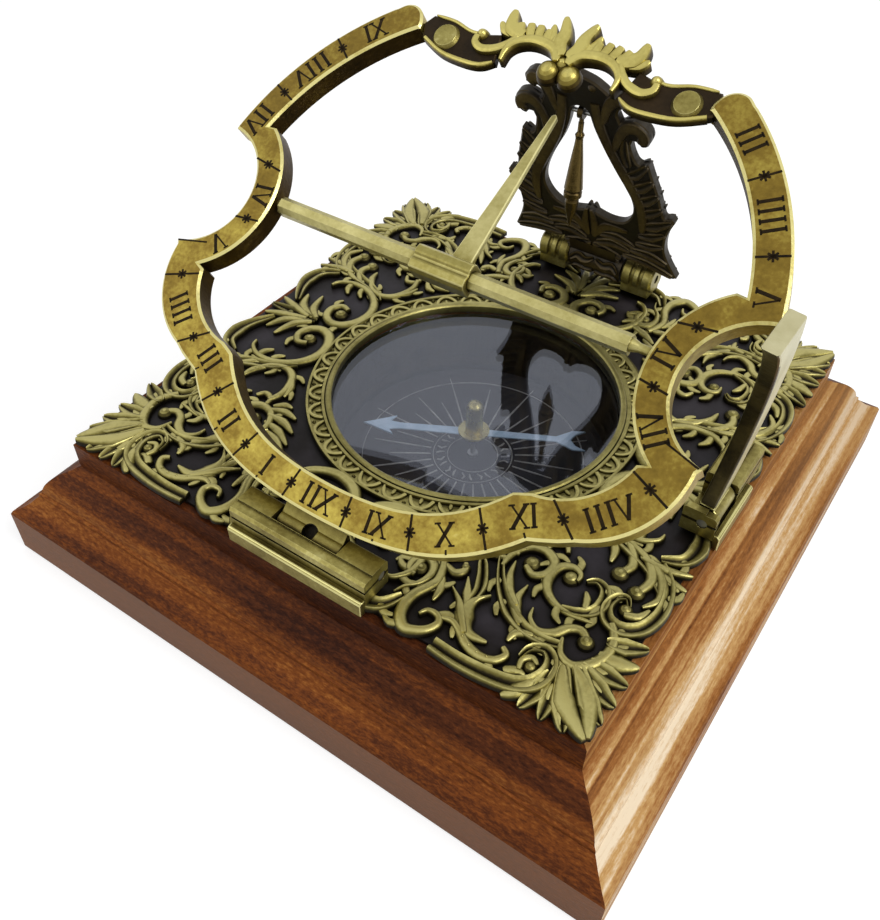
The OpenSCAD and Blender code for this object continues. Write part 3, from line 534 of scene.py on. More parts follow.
def glass():
    """Clear glass that lets light through and mirrors the room, more at a low angle."""
    m = Nodes("clear_glass")
    clear = m.add("BsdfTransparent", {"Color": linear((240, 241, 245))})
    mirror = m.add("BsdfGlossy", {"Color": linear((236, 242, 255)), "Roughness": 0.02})
    slant = m.add("LayerWeight", {"Blend": 0.5}).outputs["Facing"]
    share = m.math("ADD", m.math("POWER", slant, 5.0), 0.07, clamp=True)
    m.surface("MixShader", {0: share, 1: clear.outputs[0], 2: mirror.outputs[0]})
    return m.data


card_mat = card()
ink_mat = metal("ink_fill", (14, 9, 2), (40, 29, 10), 700, (0.5, 0.7), 3, Metallic=0.2,
                Specular_IOR_Level=0.1)
needle_mat = metal("needle_blue", (168, 196, 214), (206, 226, 238), Metallic=0.2)
steel_mat = metal("steel", (120, 120, 118), (170, 170, 166), Metallic=0.8)
cap_mat = metal("cap_brass", (150, 136, 74), (204, 192, 130), rough=(0.2, 0.35), Metallic=0.8)
rose_mat = metal("rose_lines", (142, 140, 136), (196, 194, 184), rough=(0.4, 0.5), Metallic=0.2)


def dress(material, names, bevel=0.0, edge=None):
    """Gives CAD nodes their material, and rounds their edges."""
    for name in names:
        node = nodes[name]
        node.data.materials.clear()
        node.data.materials.append(material)
        if bevel:
            node.data.materials.append(edge or material)
            node.modifiers.new("weld", "WELD").merge_threshold = 0.00001
            rounded = node.modifiers.new("bevel", "BEVEL")
            rounded.width = bevel * MM
            rounded.segments = 2
            rounded.limit_method = "ANGLE"
            rounded.angle_limit = radians(34)
            rounded.material = 1
        node.data.polygons.foreach_set("use_smooth", [False] * len(node.data.polygons))


# Scrollwork plate

# Strokes of one quarter, as distances from the plate's middle: points and widths, and FLUTED where
# they aren't DOMED.
# SIDE strokes lie about the middle of a side, and CORNER strokes fill the rest of a quarter.
SIDE = [
    ([(49.5, 13.2), (48.9, 15), (46, 16.7), (41.4, 16.4), (37.4, 13.8), (35.3, 9.8), (35.5, 5.6),
      (37.6, 2.5), (40.4, 1.6), (43, 3.2), (43.6, 6), (42, 8), (39.9, 7.4)], (1.2, 2.6, 1.3)),
    ([(46, 16.4), (45.8, 14.6), (44.6, 13)], (1.8, 1.7, 0.5)),
    ([(42.6, 16), (42.2, 14.6), (41, 13.4)], (1.6, 1.5, 0.5)),
    ([(43.4, 0), (49, 0), (56.6, 0)], (2, 3.4, 0.6), FLUTED),
    ([(44, 0.8), (47.2, 3.6), (48.6, 8.6)], (1.6, 2.2, 0.5)),
    ([(45, 0.6), (50, 3.2), (52, 7.4)], (1.6, 2.4, 0.5)),
    ([(46, 0.4), (52, 2), (55.8, 3.4)], (1.6, 2.2, 0.5)),
    ([(52.4, 4), (55, 8.6), (55.9, 12.6), (54.9, 16.4), (51.4, 18.6)], (1.8, 3.4, 1.4), FLUTED)]
SIDE_BEADS = [(40.7, 5.6, 1.5)]
CORNER = [
    # leaves that spring from the border to the plate's edge
    ([(36.4, 14.6), (41, 17.8), (46.5, 19.6), (51, 22), (55.8, 26.8)], (1.6, 2.8, 0.6), FLUTED),
    ([(44.4, 17.8), (46.6, 20), (47.8, 22.6), (47, 25)], (1.4, 2, 1.6)),
    ([(46.6, 18.4), (50, 20.4), (52, 23.8), (51.4, 27)], (1.4, 2.2, 1.6)),
    ([(50, 19.6), (53.6, 22.8), (55, 26.6), (53.2, 29.8)], (1.4, 2.2, 0.6)),
    ([(48.6, 20.2), (53, 20.2), (57.6, 18.8)], (1.4, 2, 0.5)),
    ([(51, 21.4), (54.6, 22), (58, 22.4)], (1.4, 2, 0.5)),
    ([(41.4, 18.4), (43.6, 21), (44.2, 24)], (1.4, 1.8, 0.5)),
    # round eye beside the border
    ([(43.4, 20.6), (41.2, 17.8), (37.8, 16.6), (35, 18), (33.6, 20.8), (33.2, 23.8), (34, 26.6)],
     (1.2, 2, 1.2)),
    ([(34.6, 18.2), (32.8, 21), (32.2, 24)], (1, 1.8, 0.5)),
    ([(33.6, 28.2), (34, 26), (36, 25.2), (37.2, 26.8)], (1, 1.5, 0.8)),
    # finger leaves against the border
    ([(31.8, 27.6), (30.2, 25.8), (28.4, 25.6)], (1.2, 1.8, 0.5)),
    ([(31.8, 28.8), (28.8, 27.4), (25.6, 27.8)], (1.2, 2, 0.5)),
    ([(30.8, 30.2), (27.2, 29.9), (23.4, 31.4)], (1.2, 2.1, 0.5)),
    ([(30.2, 32), (26.4, 32.4), (22.2, 34.6)], (1.2, 2.1, 0.5)),
    ([(29.4, 34), (25, 34.8), (20.4, 37.8)], (1.2, 2.1, 0.5)),
    # volute between border and corner
    ([(29, 36), (29.2, 32.2), (31, 29.3), (34, 28.6), (36.4, 30.3), (36.3, 33), (34.5, 34.6),
      (32.5, 33.6)], (1.4, 2.1, 1.2)),
    # paired scrolls with a leaf under them
    ([(41.6, 31.6), (41.4, 29.9), (39.6, 29.1), (37.6, 30.2), (36.9, 33), (38, 35.8), (40.4, 37.6),
      (43.6, 38.2), (47.8, 37.6)], (1.1, 2.2, 0.6)),
    ([(43, 30.6), (44.5, 29.4), (46.5, 30.4), (47.4, 33.2), (46.7, 35.6), (44.7, 37.2), (42, 38)],
     (1.1, 2.5, 1.2), FLUTED),
    ([(45.4, 36), (44.8, 33.8), (43.8, 32.4)], (1.2, 1.5, 0.5)),
    # spine along the edge, ending in a volute
    ([(51.5, 31.4), (50.4, 29.8), (48.8, 30.6), (48.3, 33.2), (49.6, 35.5), (52.4, 36.1), (55, 34.2),
      (56.3, 30.6), (56.2, 26.6), (54.8, 22.6), (52, 19.6)], (1.2, 2.9, 1.6), FLUTED),
    ([(51.4, 33.2), (53.6, 32.2), (54.6, 29.8)], (1.6, 1.8, 0.6)),
    # scroll and cup inward of the corner
    ([(38.2, 40.8), (38.8, 42.8), (41, 44.2), (43.6, 43), (45, 40.9), (47, 40), (48.6, 41)],
     (0.8, 2, 1.4)),
    ([(45.2, 43.2), (46.4, 46), (49, 46.9), (51.5, 44.9), (52.8, 41.4), (52.2, 38.2), (50.6, 36)],
     (1.2, 2.2, 1.4)),
    # large scroll along the other edge
    ([(44.6, 50.2), (43.2, 49.4), (42, 50.6), (42.4, 52.6)], (1, 1.4, 0.9)),
    ([(41.4, 50.4), (42, 48), (44.2, 46.8), (46, 48.2), (46.5, 50.8), (45.4, 53.6), (42.6, 55.5),
      (38, 56.4), (33, 56.7), (28.2, 56.4)], (1.4, 3.1, 2.6), FLUTED),
    ([(40.4, 54), (42.2, 52.8), (43.8, 52.8)], (1.8, 1.8, 0.5)),
    ([(26.6, 51.4), (28.4, 50.8), (30.4, 51.7), (32.8, 53.3), (35.8, 54), (38.2, 53.3), (39.3, 51.4),
      (38.2, 50.4)], (1.2, 2, 1)),
    # spray of long leaves
    ([(27.6, 33.8), (30, 38), (32.4, 41), (35.4, 43.6), (39, 45.2), (42.4, 45.5), (45.4, 44.8)],
     (1.4, 2.7, 1.6), FLUTED),
    ([(30.6, 34), (31.3, 37), (33, 39.8), (35.6, 42)], (0.8, 1.8, 1.2)),
    ([(35, 37.2), (34.8, 40.2), (35.8, 42.6), (38, 44.8)], (0.7, 2.2, 1.4)),
    ([(25.4, 36.6), (27.4, 39.8), (28.6, 42.8), (28.6, 45.8)], (1.8, 2.2, 1.2), FLUTED),
    ([(31, 42.8), (29.3, 45), (29, 47.4), (30, 49.8), (32, 51.3), (35.4, 51)], (0.8, 3.6, 0.6)),
    ([(24.6, 45), (27.2, 46.8), (29, 49), (31.4, 51.8)], (0.6, 1.8, 1.2)),
    ([(25.6, 41.6), (27.4, 44.6), (28.8, 47.2)], (0.7, 1.9, 1)),
    ([(41, 45.6), (38.4, 46.6), (38, 48.8)], (1.4, 1.8, 0.5)),
    # small scrolls beside the hinge rail
    ([(16.9, 51.6), (17.6, 49.6), (19.2, 47.6), (19.9, 45), (19.2, 42.8), (17.2, 42.1), (15.7, 43.8),
      (16, 46), (17.6, 46.4)], (0.6, 2, 1)),
    ([(23.1, 52.9), (23.9, 51.4), (25.8, 51.3), (26.8, 52.7), (26, 54.6), (24.2, 56), (22.3, 56.4),
      (20.6, 54.9), (19.8, 52.4), (20, 49.8), (21, 47.4), (21.6, 45.2), (20.9, 42.6), (20, 40.8)],
     (1.2, 2.3, 1.4)),
    ([(21.4, 43.6), (22.8, 46), (23.2, 49)], (1.4, 1.8, 0.5)),
    ([(21, 41.4), (23, 42), (24.2, 40.8), (23.6, 39.2)], (1.4, 1.8, 1)),
    ([(16.4, 40.4), (19.6, 39.6), (23, 37.4)], (1.2, 2, 0.6)),
    # shell of leaves at the corner
    ([(51.6, 39.8), (54.6, 38.8), (58, 37)], (2.2, 3.4, 0.6), FLUTED),
    ([(51.6, 42.4), (55, 42.2), (58.2, 41)], (2.2, 3.4, 0.6)),
    ([(51, 44.6), (54.6, 45.2), (58.2, 45.2)], (2.4, 3.6, 0.6), FLUTED),
    ([(50.2, 46), (54.4, 48.4), (58.2, 49.6)], (2.4, 4, 0.7), FLUTED),
    ([(50, 46.4), (54.6, 51.4), (57.8, 53.6)], (2.4, 3.6, 0.7), FLUTED),
    ([(47.6, 48), (48.8, 53.2), (49.6, 58.2)], (2.4, 3.6, 0.6), FLUTED),
    ([(48, 47.6), (51.2, 54), (53.6, 58)], (2.4, 3.6, 0.7), FLUTED),
    ([(49.4, 46.8), (54, 50.6), (57.4, 57)], (2, 3.9, 0.8)),
    ([(48, 48), (51.2, 53.4), (57, 57.6)], (2, 3.9, 0.8)),
    ([(46.8, 50), (46.6, 54.6), (45.8, 58.2)], (2.2, 3.4, 0.6), FLUTED),
    ([(45.4, 53), (44, 56), (42.4, 58)], (2, 2.8, 0.6))]
CORNER_BEADS = [(46.8, 25.4, 1.5), (51, 27.6, 1.5), (33, 32.3, 1.5), (40.2, 31.2, 1.4), (51.2, 32, 1.2),
                (48.8, 41.6, 1.4), (43.7, 51, 1.1), (17.6, 44.5, 1.3), (24, 40, 0.9),
                (31.6, 52.5, 0.5), (33.4, 53.4, 0.5), (35.2, 53.8, 0.5), (37, 53.6, 0.5)]


STROKE_SWELL = 1.15
# Small leaf tips: their spacing, and how far their bow and point lie away from and ahead of the root
LEAFLET_EVERY = 5.5
LEAFLET_BOW, LEAFLET_TIP = (1.7, 0.7), (2.3, 2.4)
# The border's three round lips: radius, width and height
BORDER_LIPS = [(31.95, 0.8, 0.0), (33.6, 3.4, -0.75), (35.2, 0.7, -0.1)]
BORDER_REACH = 36
PETALS = 36
PETAL = [(32.3, -2.3), (33.6, -1.75), (34.5, -0.9), (34.8, 0), (34.5, 0.9), (33.6, 1.75), (32.3, 2.3)]


def border(shape, foot):
    """A plain lip, a sunk band of scallops, each round a dark pit with a dart, and an outer lip."""
    for radius, width, rise in BORDER_LIPS:
        stroke(shape, circle(144) * radius, (width / 0.55, width, width), foot, rise, BEVELLED, wear=0.9)
    for k in range(PETALS):
        d, s = spoke(k + 0.5, PETALS)
        stroke(shape, smooth([d * r + s * w for r, w in PETAL], 3), (0.9, 0.85, 0.9), foot, -0.12)
        dart = np.array([d * 32.3, d * 32.9, d * 33.6])
        stroke(shape, dart, (1.3, 0.9, 0.35), foot, -0.25, wear=0.95)
        x, y = spoke(k + 1, PETALS)[0] * 34.3
        bead(shape, x, y, 0.55, foot, -0.2, 0.8, 3, 8)


def leaflets(shape, path, foot, top):
    """Small leaf tips that spring from the outer side of a long curling stroke."""
    count = int(np.linalg.norm(np.diff(path, axis=0), axis=1).sum() / LEAFLET_EVERY)
    if count < 2:
        return
    side = side_normals(path)
    for k in range(1, count + 1):
        i = int((k / (count + 1)) * (len(path) - 1))
        if i < 2 or i > len(path) - 3:
            continue
        before, after = path[i] - path[i - 2], path[i + 2] - path[i]
        bend = before[0] * after[1] - before[1] * after[0]
        away = side[i] * (-1 if bend > 0 else 1)
        ahead = np.array([side[i][1], -side[i][0]])
        bow, tip = (path[i] + away * out + ahead * on for out, on in (LEAFLET_BOW, LEAFLET_TIP))
        if max(abs(tip)) < PLATE_HALF + 0.3 and np.linalg.norm(tip) > BORDER_REACH:
            stroke(shape, smooth([path[i], bow, tip], 4), (1.6, 1.5, 0.5), foot, top, drop=0.3)


def scrollwork():
    """The pierced relief plate: crossing scrolls and leaves, with a border round the glass."""
    shape = Shape()
    foot = -SCROLL_T

    def lay(rows, beads, turn):
        for i, (points, widths, *fluted) in enumerate(rows):
            section = FLUTED if fluted else DOMED
            path = smooth(points) @ turn.T
            # one of four heights, so that crossing strokes part; pointed ones sink at their tip
            top = -0.05 - 0.22 * ((i * 7) % 4) / 3
            drop = 0.35 if widths[2] <= 0.7 else 0.0
            stroke(shape, path, [w * STROKE_SWELL for w in widths], foot, top, section, drop)
            leaflets(shape, path, foot, top - 0.35)
        for x, y, r in beads:
            x, y = turn @ np.array([x, y])
            bead(shape, x, y, r * STROKE_SWELL, foot, 0.0)

    swap = np.array([[0, 1], [1, 0]])
    for sx in (1, -1):
        for sy in (1, -1):
            quarter = np.diag([sx, sy])
            lay(CORNER, CORNER_BEADS, quarter)
            lay(SIDE, SIDE_BEADS, quarter)
            lay(SIDE, SIDE_BEADS, quarter @ swap)
    border(shape, foot)
    piece = shape.make("scroll_relief", "base", scroll_brass, PLATE, sharp=50)
    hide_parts("scroll_plate")


# Hour ring

RING_T = 4.4
LETTER_DEPTH = 0.06
LOBE, LOBE_R = (36.8, -16.1), 17.9
LOBE_IN, LOBE_IN_R = (31.8, -14.4), 14.6
NOTCH, NOTCH_R, BULGE_R = (57.9, -2), 12.8, 18.5
DIAL, RIM_R, BAND_R = (0, 0), 57.2, 51


def foot_out(u):
    return -48.96 + 0.004058 * u**2 + 0.00000454 * u**4


def foot_in(u):
    return -42.7 + 0.005953 * u**2 + 0.00000822 * u**4


def ring_sides():
    """Outer and inner edge of the ring's right half: the same named forms as the CAD, finer."""
    foot = np.linspace(0, 36, 25)
    outer = np.vstack([
        np.stack([foot, foot_out(foot)], 1), [[37.8, -35.4], [40.6, -34.2]],
        arc(LOBE, LOBE_R, -70, 2, 26), arc(NOTCH, NOTCH_R, 258, 98, 34), arc(DIAL, RIM_R, 11.5, 50, 30),
        smooth([(36.2, 44.2), (34.6, 45.5), (32.6, 45.7), (30.8, 44.7), (29.7, 42.8), (29.5, 41.4)], 4)])
    heel = np.linspace(0, 30.4, 21)
    inner = np.vstack([
        np.stack([heel, foot_in(heel)], 1), [[31.2, -29.8]], arc(LOBE_IN, LOBE_IN_R, -84, -14, 22),
        arc(NOTCH, BULGE_R, 236, 124, 30), arc(DIAL, BAND_R, 15, 54, 30)])
    return outer, inner


def nearest(curve, point):
    """The point of a curve that lies closest to another point."""
    a, step = curve[:-1], np.diff(curve, axis=0)
    share = ((point - a) * step).sum(1) / np.maximum((step**2).sum(1), 1e-9)
    feet = a + step * np.clip(share, 0, 1)[:, None]
    return feet[np.argmin(np.linalg.norm(feet - point, axis=1))]


def spans(loop, out, across):
    """Where a ray outward runs inside the ring: pairs of distances."""
    hits = []
    for p, q in zip(loop, np.roll(loop, -1, 0)):
        a, b = p @ across, q @ across
        if (a > 0) != (b > 0):
            hits.append((p + (q - p) * a / (a - b)) @ out)
    hits = sorted(h for h in hits if h > 0)
    return list(zip(hits[::2], hits[1::2]))


# Each letter in a box 1 high: its width, then its strokes as (x0, y0, x1, y1, width)
LETTERS = {
    "I": (0.46, [(0.23, 0, 0.23, 1, 0.17)]),
    "V": (0.74, [(0.06, 1, 0.38, 0, 0.18), (0.68, 1, 0.38, 0, 0.09)]),
    "X": (0.78, [(0.08, 1, 0.7, 0, 0.18), (0.7, 1, 0.08, 0, 0.09)])}
HOURS = "XII I II III IIII V VI VII VIII IX X XI".split()
# Distance of each hour's letters from the dial's centre, from the foot round to a horn
HOUR_AT = [45.5, 46.8, 48.3, 48.0, 53.2, 47.2, 42.6, 54.0, 54.4, 54.2]
LETTER_H = 3.8
TICKED = (1, 2, 3, 5)


def hour_marks(loop, outer, inner):
    """Engraved hours, read from inside the ring, with a starred line at each half hour."""
    shape = Shape()

    def line(a, b, width):
        widths = (width / 0.55, width, width)
        stroke(shape, np.array([a, (a + b) / 2, b]), widths, -LETTER_DEPTH, 0.0, FLAT_TOP)

    def half_hour(out, across, near, far):
        line(out * (near + 0.4), out * (far - 0.4), 0.42)
        mid = out * (near + far) / 2
        for turn in (35, 90, 145):
            d = out * cos(radians(turn)) + across * sin(radians(turn))
            line(mid - d, mid + d, 0.4)

    def numeral(name, low, high):
        """Letters upright across the band, midway between its inner and outer edge."""
        out = (high - low) / np.linalg.norm(high - low)
        across = np.array([-out[1], out[0]])
        foot = (low + high) / 2 + out * LETTER_H / 2
        x = sum(LETTERS[c][0] for c in name) * LETTER_H / 2
        for letter in name:
            wide, strokes = LETTERS[letter]

            def at(px, py):
                return foot - out * py * LETTER_H + across * (x - px * LETTER_H)

            for x0, y0, x1, y1, thick in strokes:
                line(at(x0, y0), at(x1, y1), thick * LETTER_H * 0.95)
            # serifs at each end of a stroke, but for the point of a V
            for x0, y0, x1, y1, _ in strokes:
                for px, py in [(x0, y0), (x1, y1)][: 1 if letter == "V" else 2]:
                    line(at(px - 0.14, py), at(px + 0.14, py), 0.34)
            x -= wide * LETTER_H

    for side in (-1, 1):
        for k in range(19):
            angle = radians(7.5 * k) * side
            out = np.array([sin(angle), -cos(angle)])
            across = np.array([cos(angle), sin(angle)])
            hour = k // 2
            aim = HOUR_AT[hour] if k % 2 == 0 else (HOUR_AT[hour] + HOUR_AT[hour + 1]) / 2
            near, far = min(spans(loop, out, across), key=lambda span: abs(sum(span) / 2 - aim))
            if k % 2:
                half_hour(out, across, near, far)
            elif hour or side == -1:
                middle = out * aim
                low, high = (nearest(edge * [side, 1], middle) for edge in (inner, outer))
                numeral(HOURS[hour] if side == -1 else HOURS[12 - hour], low, high)
                base = (low + high) @ out / 2 + LETTER_H / 2
                if hour in TICKED:
                    line(out * (base + 0.6), out * (far - 0.35), 0.34)
    piece = shape.make("hour_marks", "ring", ink_mat, RING)


def hour_ring():
    outer, inner = ring_sides()
    loop = np.vstack([outer, inner[::-1], flip(inner)[1:], flip(outer)[::-1][:-1]])
    # the outer walls get a painted highlight, as the light falls on them
    rim = [i for i in range(len(loop)) if i < len(outer) or i > len(loop) - len(outer)]
    shape = Shape()
    slab(shape, [loop], -RING_T, -LETTER_DEPTH / 2, 0.5, (0.24, 1.0, 0.62), lit_walls=rim)
    piece = shape.make("hour_ring_relief", "ring", ring_brass, RING)
    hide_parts("hour_ring")
    hour_marks(loop, outer, inner)


# Crest

CREST_SHIFT = np.array([0.8, 0])
CREST_BACK, CREST_FACE = -2.7, -0.9
# The fringe's lobes: their place and how far they lean
CREST_LOBES = [(2.9, 45.2, -0.3), (4.6, 46.1, 0), (6.3, 46.5, 0.3), (8, 46.4, 0.6), (9.7, 46, 0.9)]


def crest():
    """Two dark arms from the ring's horns, with bright paired scrolls and a fringe of leaves."""
    ground, bright = Shape(), Shape()
    low_edge = smooth([(12.6, 39.4), (15.4, 38), (19, 37.8), (24, 38.4), (29.4, 40.6)])
    high_edge = smooth([(29.2, 45.2), (24.4, 45), (19.5, 43.9), (14, 45)])
    arm = np.vstack([low_edge, [(30.6, 43)], high_edge])
    for s in (1, -1):
        place = np.array([s, 1])
        slab(ground, [arm * place + CREST_SHIFT], CREST_BACK, CREST_FACE, 0.3, (0.15, 0.6, 0.35))

        def lay(points, widths, top):
            stroke(bright, smooth(points, 6) * place + CREST_SHIFT, widths, CREST_BACK + 0.3, top)

        def ball(u, v, r):
            x, y = np.array([u, v]) * place + CREST_SHIFT
            bead(bright, x, y, r, CREST_BACK + 0.2, 0.3, 1.0, 6, 24)

        # bright borders of the arm
        lay(low_edge[1:-1], (0.9, 1.0, 0.8), -0.5)
        lay(high_edge[1:-3], (0.7, 0.8, 0.7), -0.6)
        # ground of the fringe, then its lobes, ending in a wing tip
        lay([(3.2, 44.6), (5.8, 46.6), (9, 46.8), (11.6, 46)], (1.6, 2.4, 1.4), -0.6)
        for u, v, lean in CREST_LOBES:
            finger = [(u, v - 1.2), (u + 0.4 + lean * 0.5, v + 0.4), (u + 0.5 + lean, v + 1.7)]
            lay(finger, (1.7, 2.1, 1.5), 0.05)
        lay([(9.4, 45.6), (11.4, 45.9), (12.9, 47.1), (13.4, 49.8)], (3, 3.6, 1.2), 0.1)
        lay([(11.6, 45.4), (13.6, 45.8), (15, 47)], (2.2, 2.2, 0.8), -0.2)
        # inner C-scroll with its flat round end
        lay([(1.2, 42.2), (1.7, 43.6), (3.4, 44.8), (6.8, 45.2), (9.7, 44.2), (11.3, 42.2), (11.3, 39.6)],
            (2.2, 2.1, 0.8), 0.3)
        ball(2.1, 40.7, 2.4)
        # outer curl
        lay([(10.4, 45), (11.6, 43.2), (13.6, 41.6), (16.2, 40.9), (18, 41.8), (18.2, 43.2)],
            (1.6, 1.9, 1.3), 0.1)
        ball(17.7, 43.9, 1.4)
        # leaf spire beside the middle
        lay([(0.7, 43.4), (1.9, 45.6), (2.1, 48), (3.2, 50.8)], (2.8, 3.3, 1.1), 0.3)
        lay([(2.4, 45.6), (4.1, 46.8), (4.8, 49)], (2, 2.2, 0.8), -0.1)
    bead(bright, CREST_SHIFT[0], 42.6, 1.6, CREST_BACK + 0.4, 0.1)
    dark = ground.make("crest_arms", "ring", dark_ground, RING)
    light = bright.make("crest_scrolls", "ring", crest_brass, RING, sharp=50)
    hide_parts("crest")
    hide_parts("crest")


# Lyre stand

EYE_V = 46.2
# Half the lyre's thickness, and the foot and top of its carving
LYRE_HALF_T = 1.1
LYRE_RELIEF = (0.4, 1.5)


def lyre_outline():
    """Outline and opening of the lyre: the same hooks and steps as the CAD, with finer steps."""
    half = np.vstack([
        [(0, 6.4), (6.4, 6.4)], smooth([(9.2, 4.9), (16.5, 4.2), (19.6, 3.4)]),
        smooth([(21.2, 4.2), (20.4, 6), (19, 9.4), (18.2, 13), (18.8, 18), (20.6, 22.8)]),
        smooth([(20, 23.8), (18.3, 23.4), (17.6, 26), (16.8, 30), (15.8, 33.6), (14.7, 37.8)]),
        smooth([(13.2, 37), (12.1, 37.4), (11.2, 39.6), (10.8, 41.8)]),
        smooth([(11.3, 43.2), (12.4, 43.1), (13.3, 42.2), (14.7, 43), (15.2, 45), (14.5, 47.2),
                (12.4, 48.4), (10.2, 47.7), (8.8, 47)]),
        smooth([(8.2, 48.6), (8.6, 50), (9.4, 50.6), (10.2, 50), (11.6, 50.8), (11.9, 52.8),
                (10, 54.3), (8, 54), (6.7, 53.3)]),
        smooth([(5.6, 54.2), (3.4, 55.5), (0, 56.4)])])
    opening = np.vstack([
        smooth([(0, 18.6), (2.2, 17.6), (5, 17), (8, 17.6), (10, 19.8), (10.9, 23), (10.4, 26.4),
                (8.8, 30.6), (6.8, 34.6), (4.7, 38.6), (3, 43), (2.2, EYE_V)]),
        arc((0, EYE_V), 2.2, 30, 90, 4)])
    return np.vstack([half, flip(half)[::-1][1:-1]]), np.vstack([opening, flip(opening)[::-1][1:-1]])


# Carving of one half of the lyre's face: points and widths, then the cross-section and the fall at
# the tip, where these aren't FLUTED and 0.1
LYRE_CARVING = [
    # ridge beside the opening
    ([(13, 17), (13.2, 21), (12.6, 25.4), (10.6, 30.4), (8.2, 35.2), (5.9, 40.2), (4.4, 45),
      (3.6, 50.4)], (2.4, 3, 2.2), ROUND, 0.0),
    # hooked lobes of the shoulder and of the head
    ([(7.4, 39.6), (8.4, 43), (10, 46), (12.2, 46.8), (13.9, 45.4), (13.7, 43.6)], (2, 3, 2.4),
     ROUND, 0.0),
    ([(5.2, 46), (6.3, 50), (7.8, 52.4), (10, 52.8), (10.6, 51.4)], (2, 3, 2.2), ROUND, 0.0),
    ([(10.4, 36), (9.6, 39.6), (9.8, 43)], (2, 2.4, 0.8), FLUTED, 0.2),
    # broad flutes that fall outward across the flank
    ([(9.2, 33), (11.8, 34.2), (14.4, 37.4)], (1.6, 3, 1), FLUTED, 0.2),
    ([(10.2, 29.6), (13, 30.8), (15.6, 33.4)], (1.8, 3.2, 1.2)),
    ([(11.2, 26.2), (14, 27.2), (16.7, 29.8)], (1.8, 3.2, 1.2)),
    ([(12.2, 22.8), (15, 23.8), (17.6, 26)], (1.8, 3, 1.2)),
    ([(12.4, 19), (15.8, 20), (20, 23)], (2, 3.4, 1)),
    ([(12.2, 15.6), (15.2, 16.2), (18.4, 18.4)], (1.8, 3, 1)),
    ([(11.4, 12.6), (14.8, 12.8), (17.8, 14)], (1.8, 2.8, 1)),
    # leaves of the foot
    ([(10, 9.6), (14.6, 9.6), (18.8, 8.2)], (2, 3.2, 1.4)),
    ([(8, 6.9), (14, 6.5), (20.2, 4.6)], (1.8, 3, 1.4)),
    ([(1.4, 8.2), (5.4, 9.6), (9.8, 8.6)], (2.4, 3, 1.2)),
    ([(2.4, 11.6), (6.6, 12.2), (11, 10.8)], (2, 3, 1.2)),
    ([(0.4, 7.4), (3.4, 6.2), (7.4, 5.2)], (2.2, 3, 1.4)),
    ([(0.4, 5), (3, 4.2), (6.8, 3.4)], (2, 2.6, 1.2)),
    ([(1.4, 11), (4, 14.6), (9.4, 15.2)], (2, 2.6, 1), ROUND, 0.1),
    ([(0.8, 10), (1.2, 14), (0.6, 18.6)], (1.8, 2.2, 0.7), ROUND, 0.0)]
LYRE_BEADS = [(13.2, 43.9, 1.2), (10, 51.8, 1.1), (3.2, 54, 1.2)]


def lyre():
    """The lyre: two fluted arms about a pear-shaped opening, with hooked lobes and leafy flanks."""
    shape = Shape()
    slab(shape, lyre_outline(), -LYRE_HALF_T, LYRE_HALF_T, 0.4, (0.3, 0.6, 0.25), both=True)
    for face in (1, -1):
        foot, top = (z * face for z in LYRE_RELIEF)
        for s in (1, -1):
            for points, widths, *kind in LYRE_CARVING:
                section, drop = kind or (FLUTED, 0.1)
                stroke(shape, smooth(points) * [s, 1], widths, foot, top, section, drop, 0.85)
            for x, y, r in LYRE_BEADS:
                bead(shape, x * s, y, r, foot, top, 0.85)
    piece = shape.make("lyre_relief", "stand", dark_bronze, STAND, sharp=45)
    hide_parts("lyre_stand")


# The barrel at the lyre's foot, its middle along the hinge, and a leaf that wraps it
FOOT_R = 3.2
KNUCKLE_MID = 0.9
FOOT_LEAF = [(0.3, 0), (2.4, 0.9), (4.6, 0.4), (6.2, 1.6)]


def foot_leaves():
    """Leaves that wrap the barrel at the lyre's foot, between the knuckles."""
    shape = Shape()
    for k in range(5):
        for lean in (-1, 1):
            path = smooth([(x * lean, 2.2 + 3.2 * k + rise) for x, rise in FOOT_LEAF])
            stroke(shape, path, (1.2, 2, 0.9), -0.3, 0.55, FLUTED, wear=0.8)
    bent = []
    for x, y, z in shape.points:
        a = y / FOOT_R
        bent.append((x + KNUCKLE_MID, (FOOT_R + z) * cos(a), (FOOT_R + z) * sin(a)))
    shape.points = bent
    piece = shape.make("foot_leaves", "stand", dark_bronze, STAND, sharp=45)


# Compass

NEEDLE_Z = PLATE_Z - 11.3
NEEDLE_LEN = 24.3
NEEDLE_TURN = 208
# The card's profile, as radius and height, with a raised ring near its middle and one near its rim
CARD_PROFILE = [(0.6, 0.0), (6.0, 0.0), (6.3, 0.06), (6.9, 0.06), (7.2, 0.0), (27.6, 0.0), (27.9, 0.08),
                (28.6, 0.08), (28.9, 0.0), (29.9, 0.0), (29.9, -0.7), (0.6, -0.7)]
RAY_FROM, RAY_ENDS = 9.4, (26.5, 18.5, 22.5, 18.5)
RAYS, TICKS = 32, 24


def card_face():
    """The card, turned from its profile."""
    disc = Shape()
    steps = 96
    points = [(p[0] * r, p[1] * r, z) for r, z in CARD_PROFILE for p in circle(steps)[:-1]]
    # the last ring joins the first, and the faces are turned round to look outward
    faces = [[f[v] % len(points) for v in (0, 3, 2, 1)] for f in tube(len(CARD_PROFILE) + 1, steps)]
    disc.add(points, faces, [0.4] * len(faces))
    face = disc.make("card_face", "base", card_mat, CARD)
    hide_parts("compass_card")


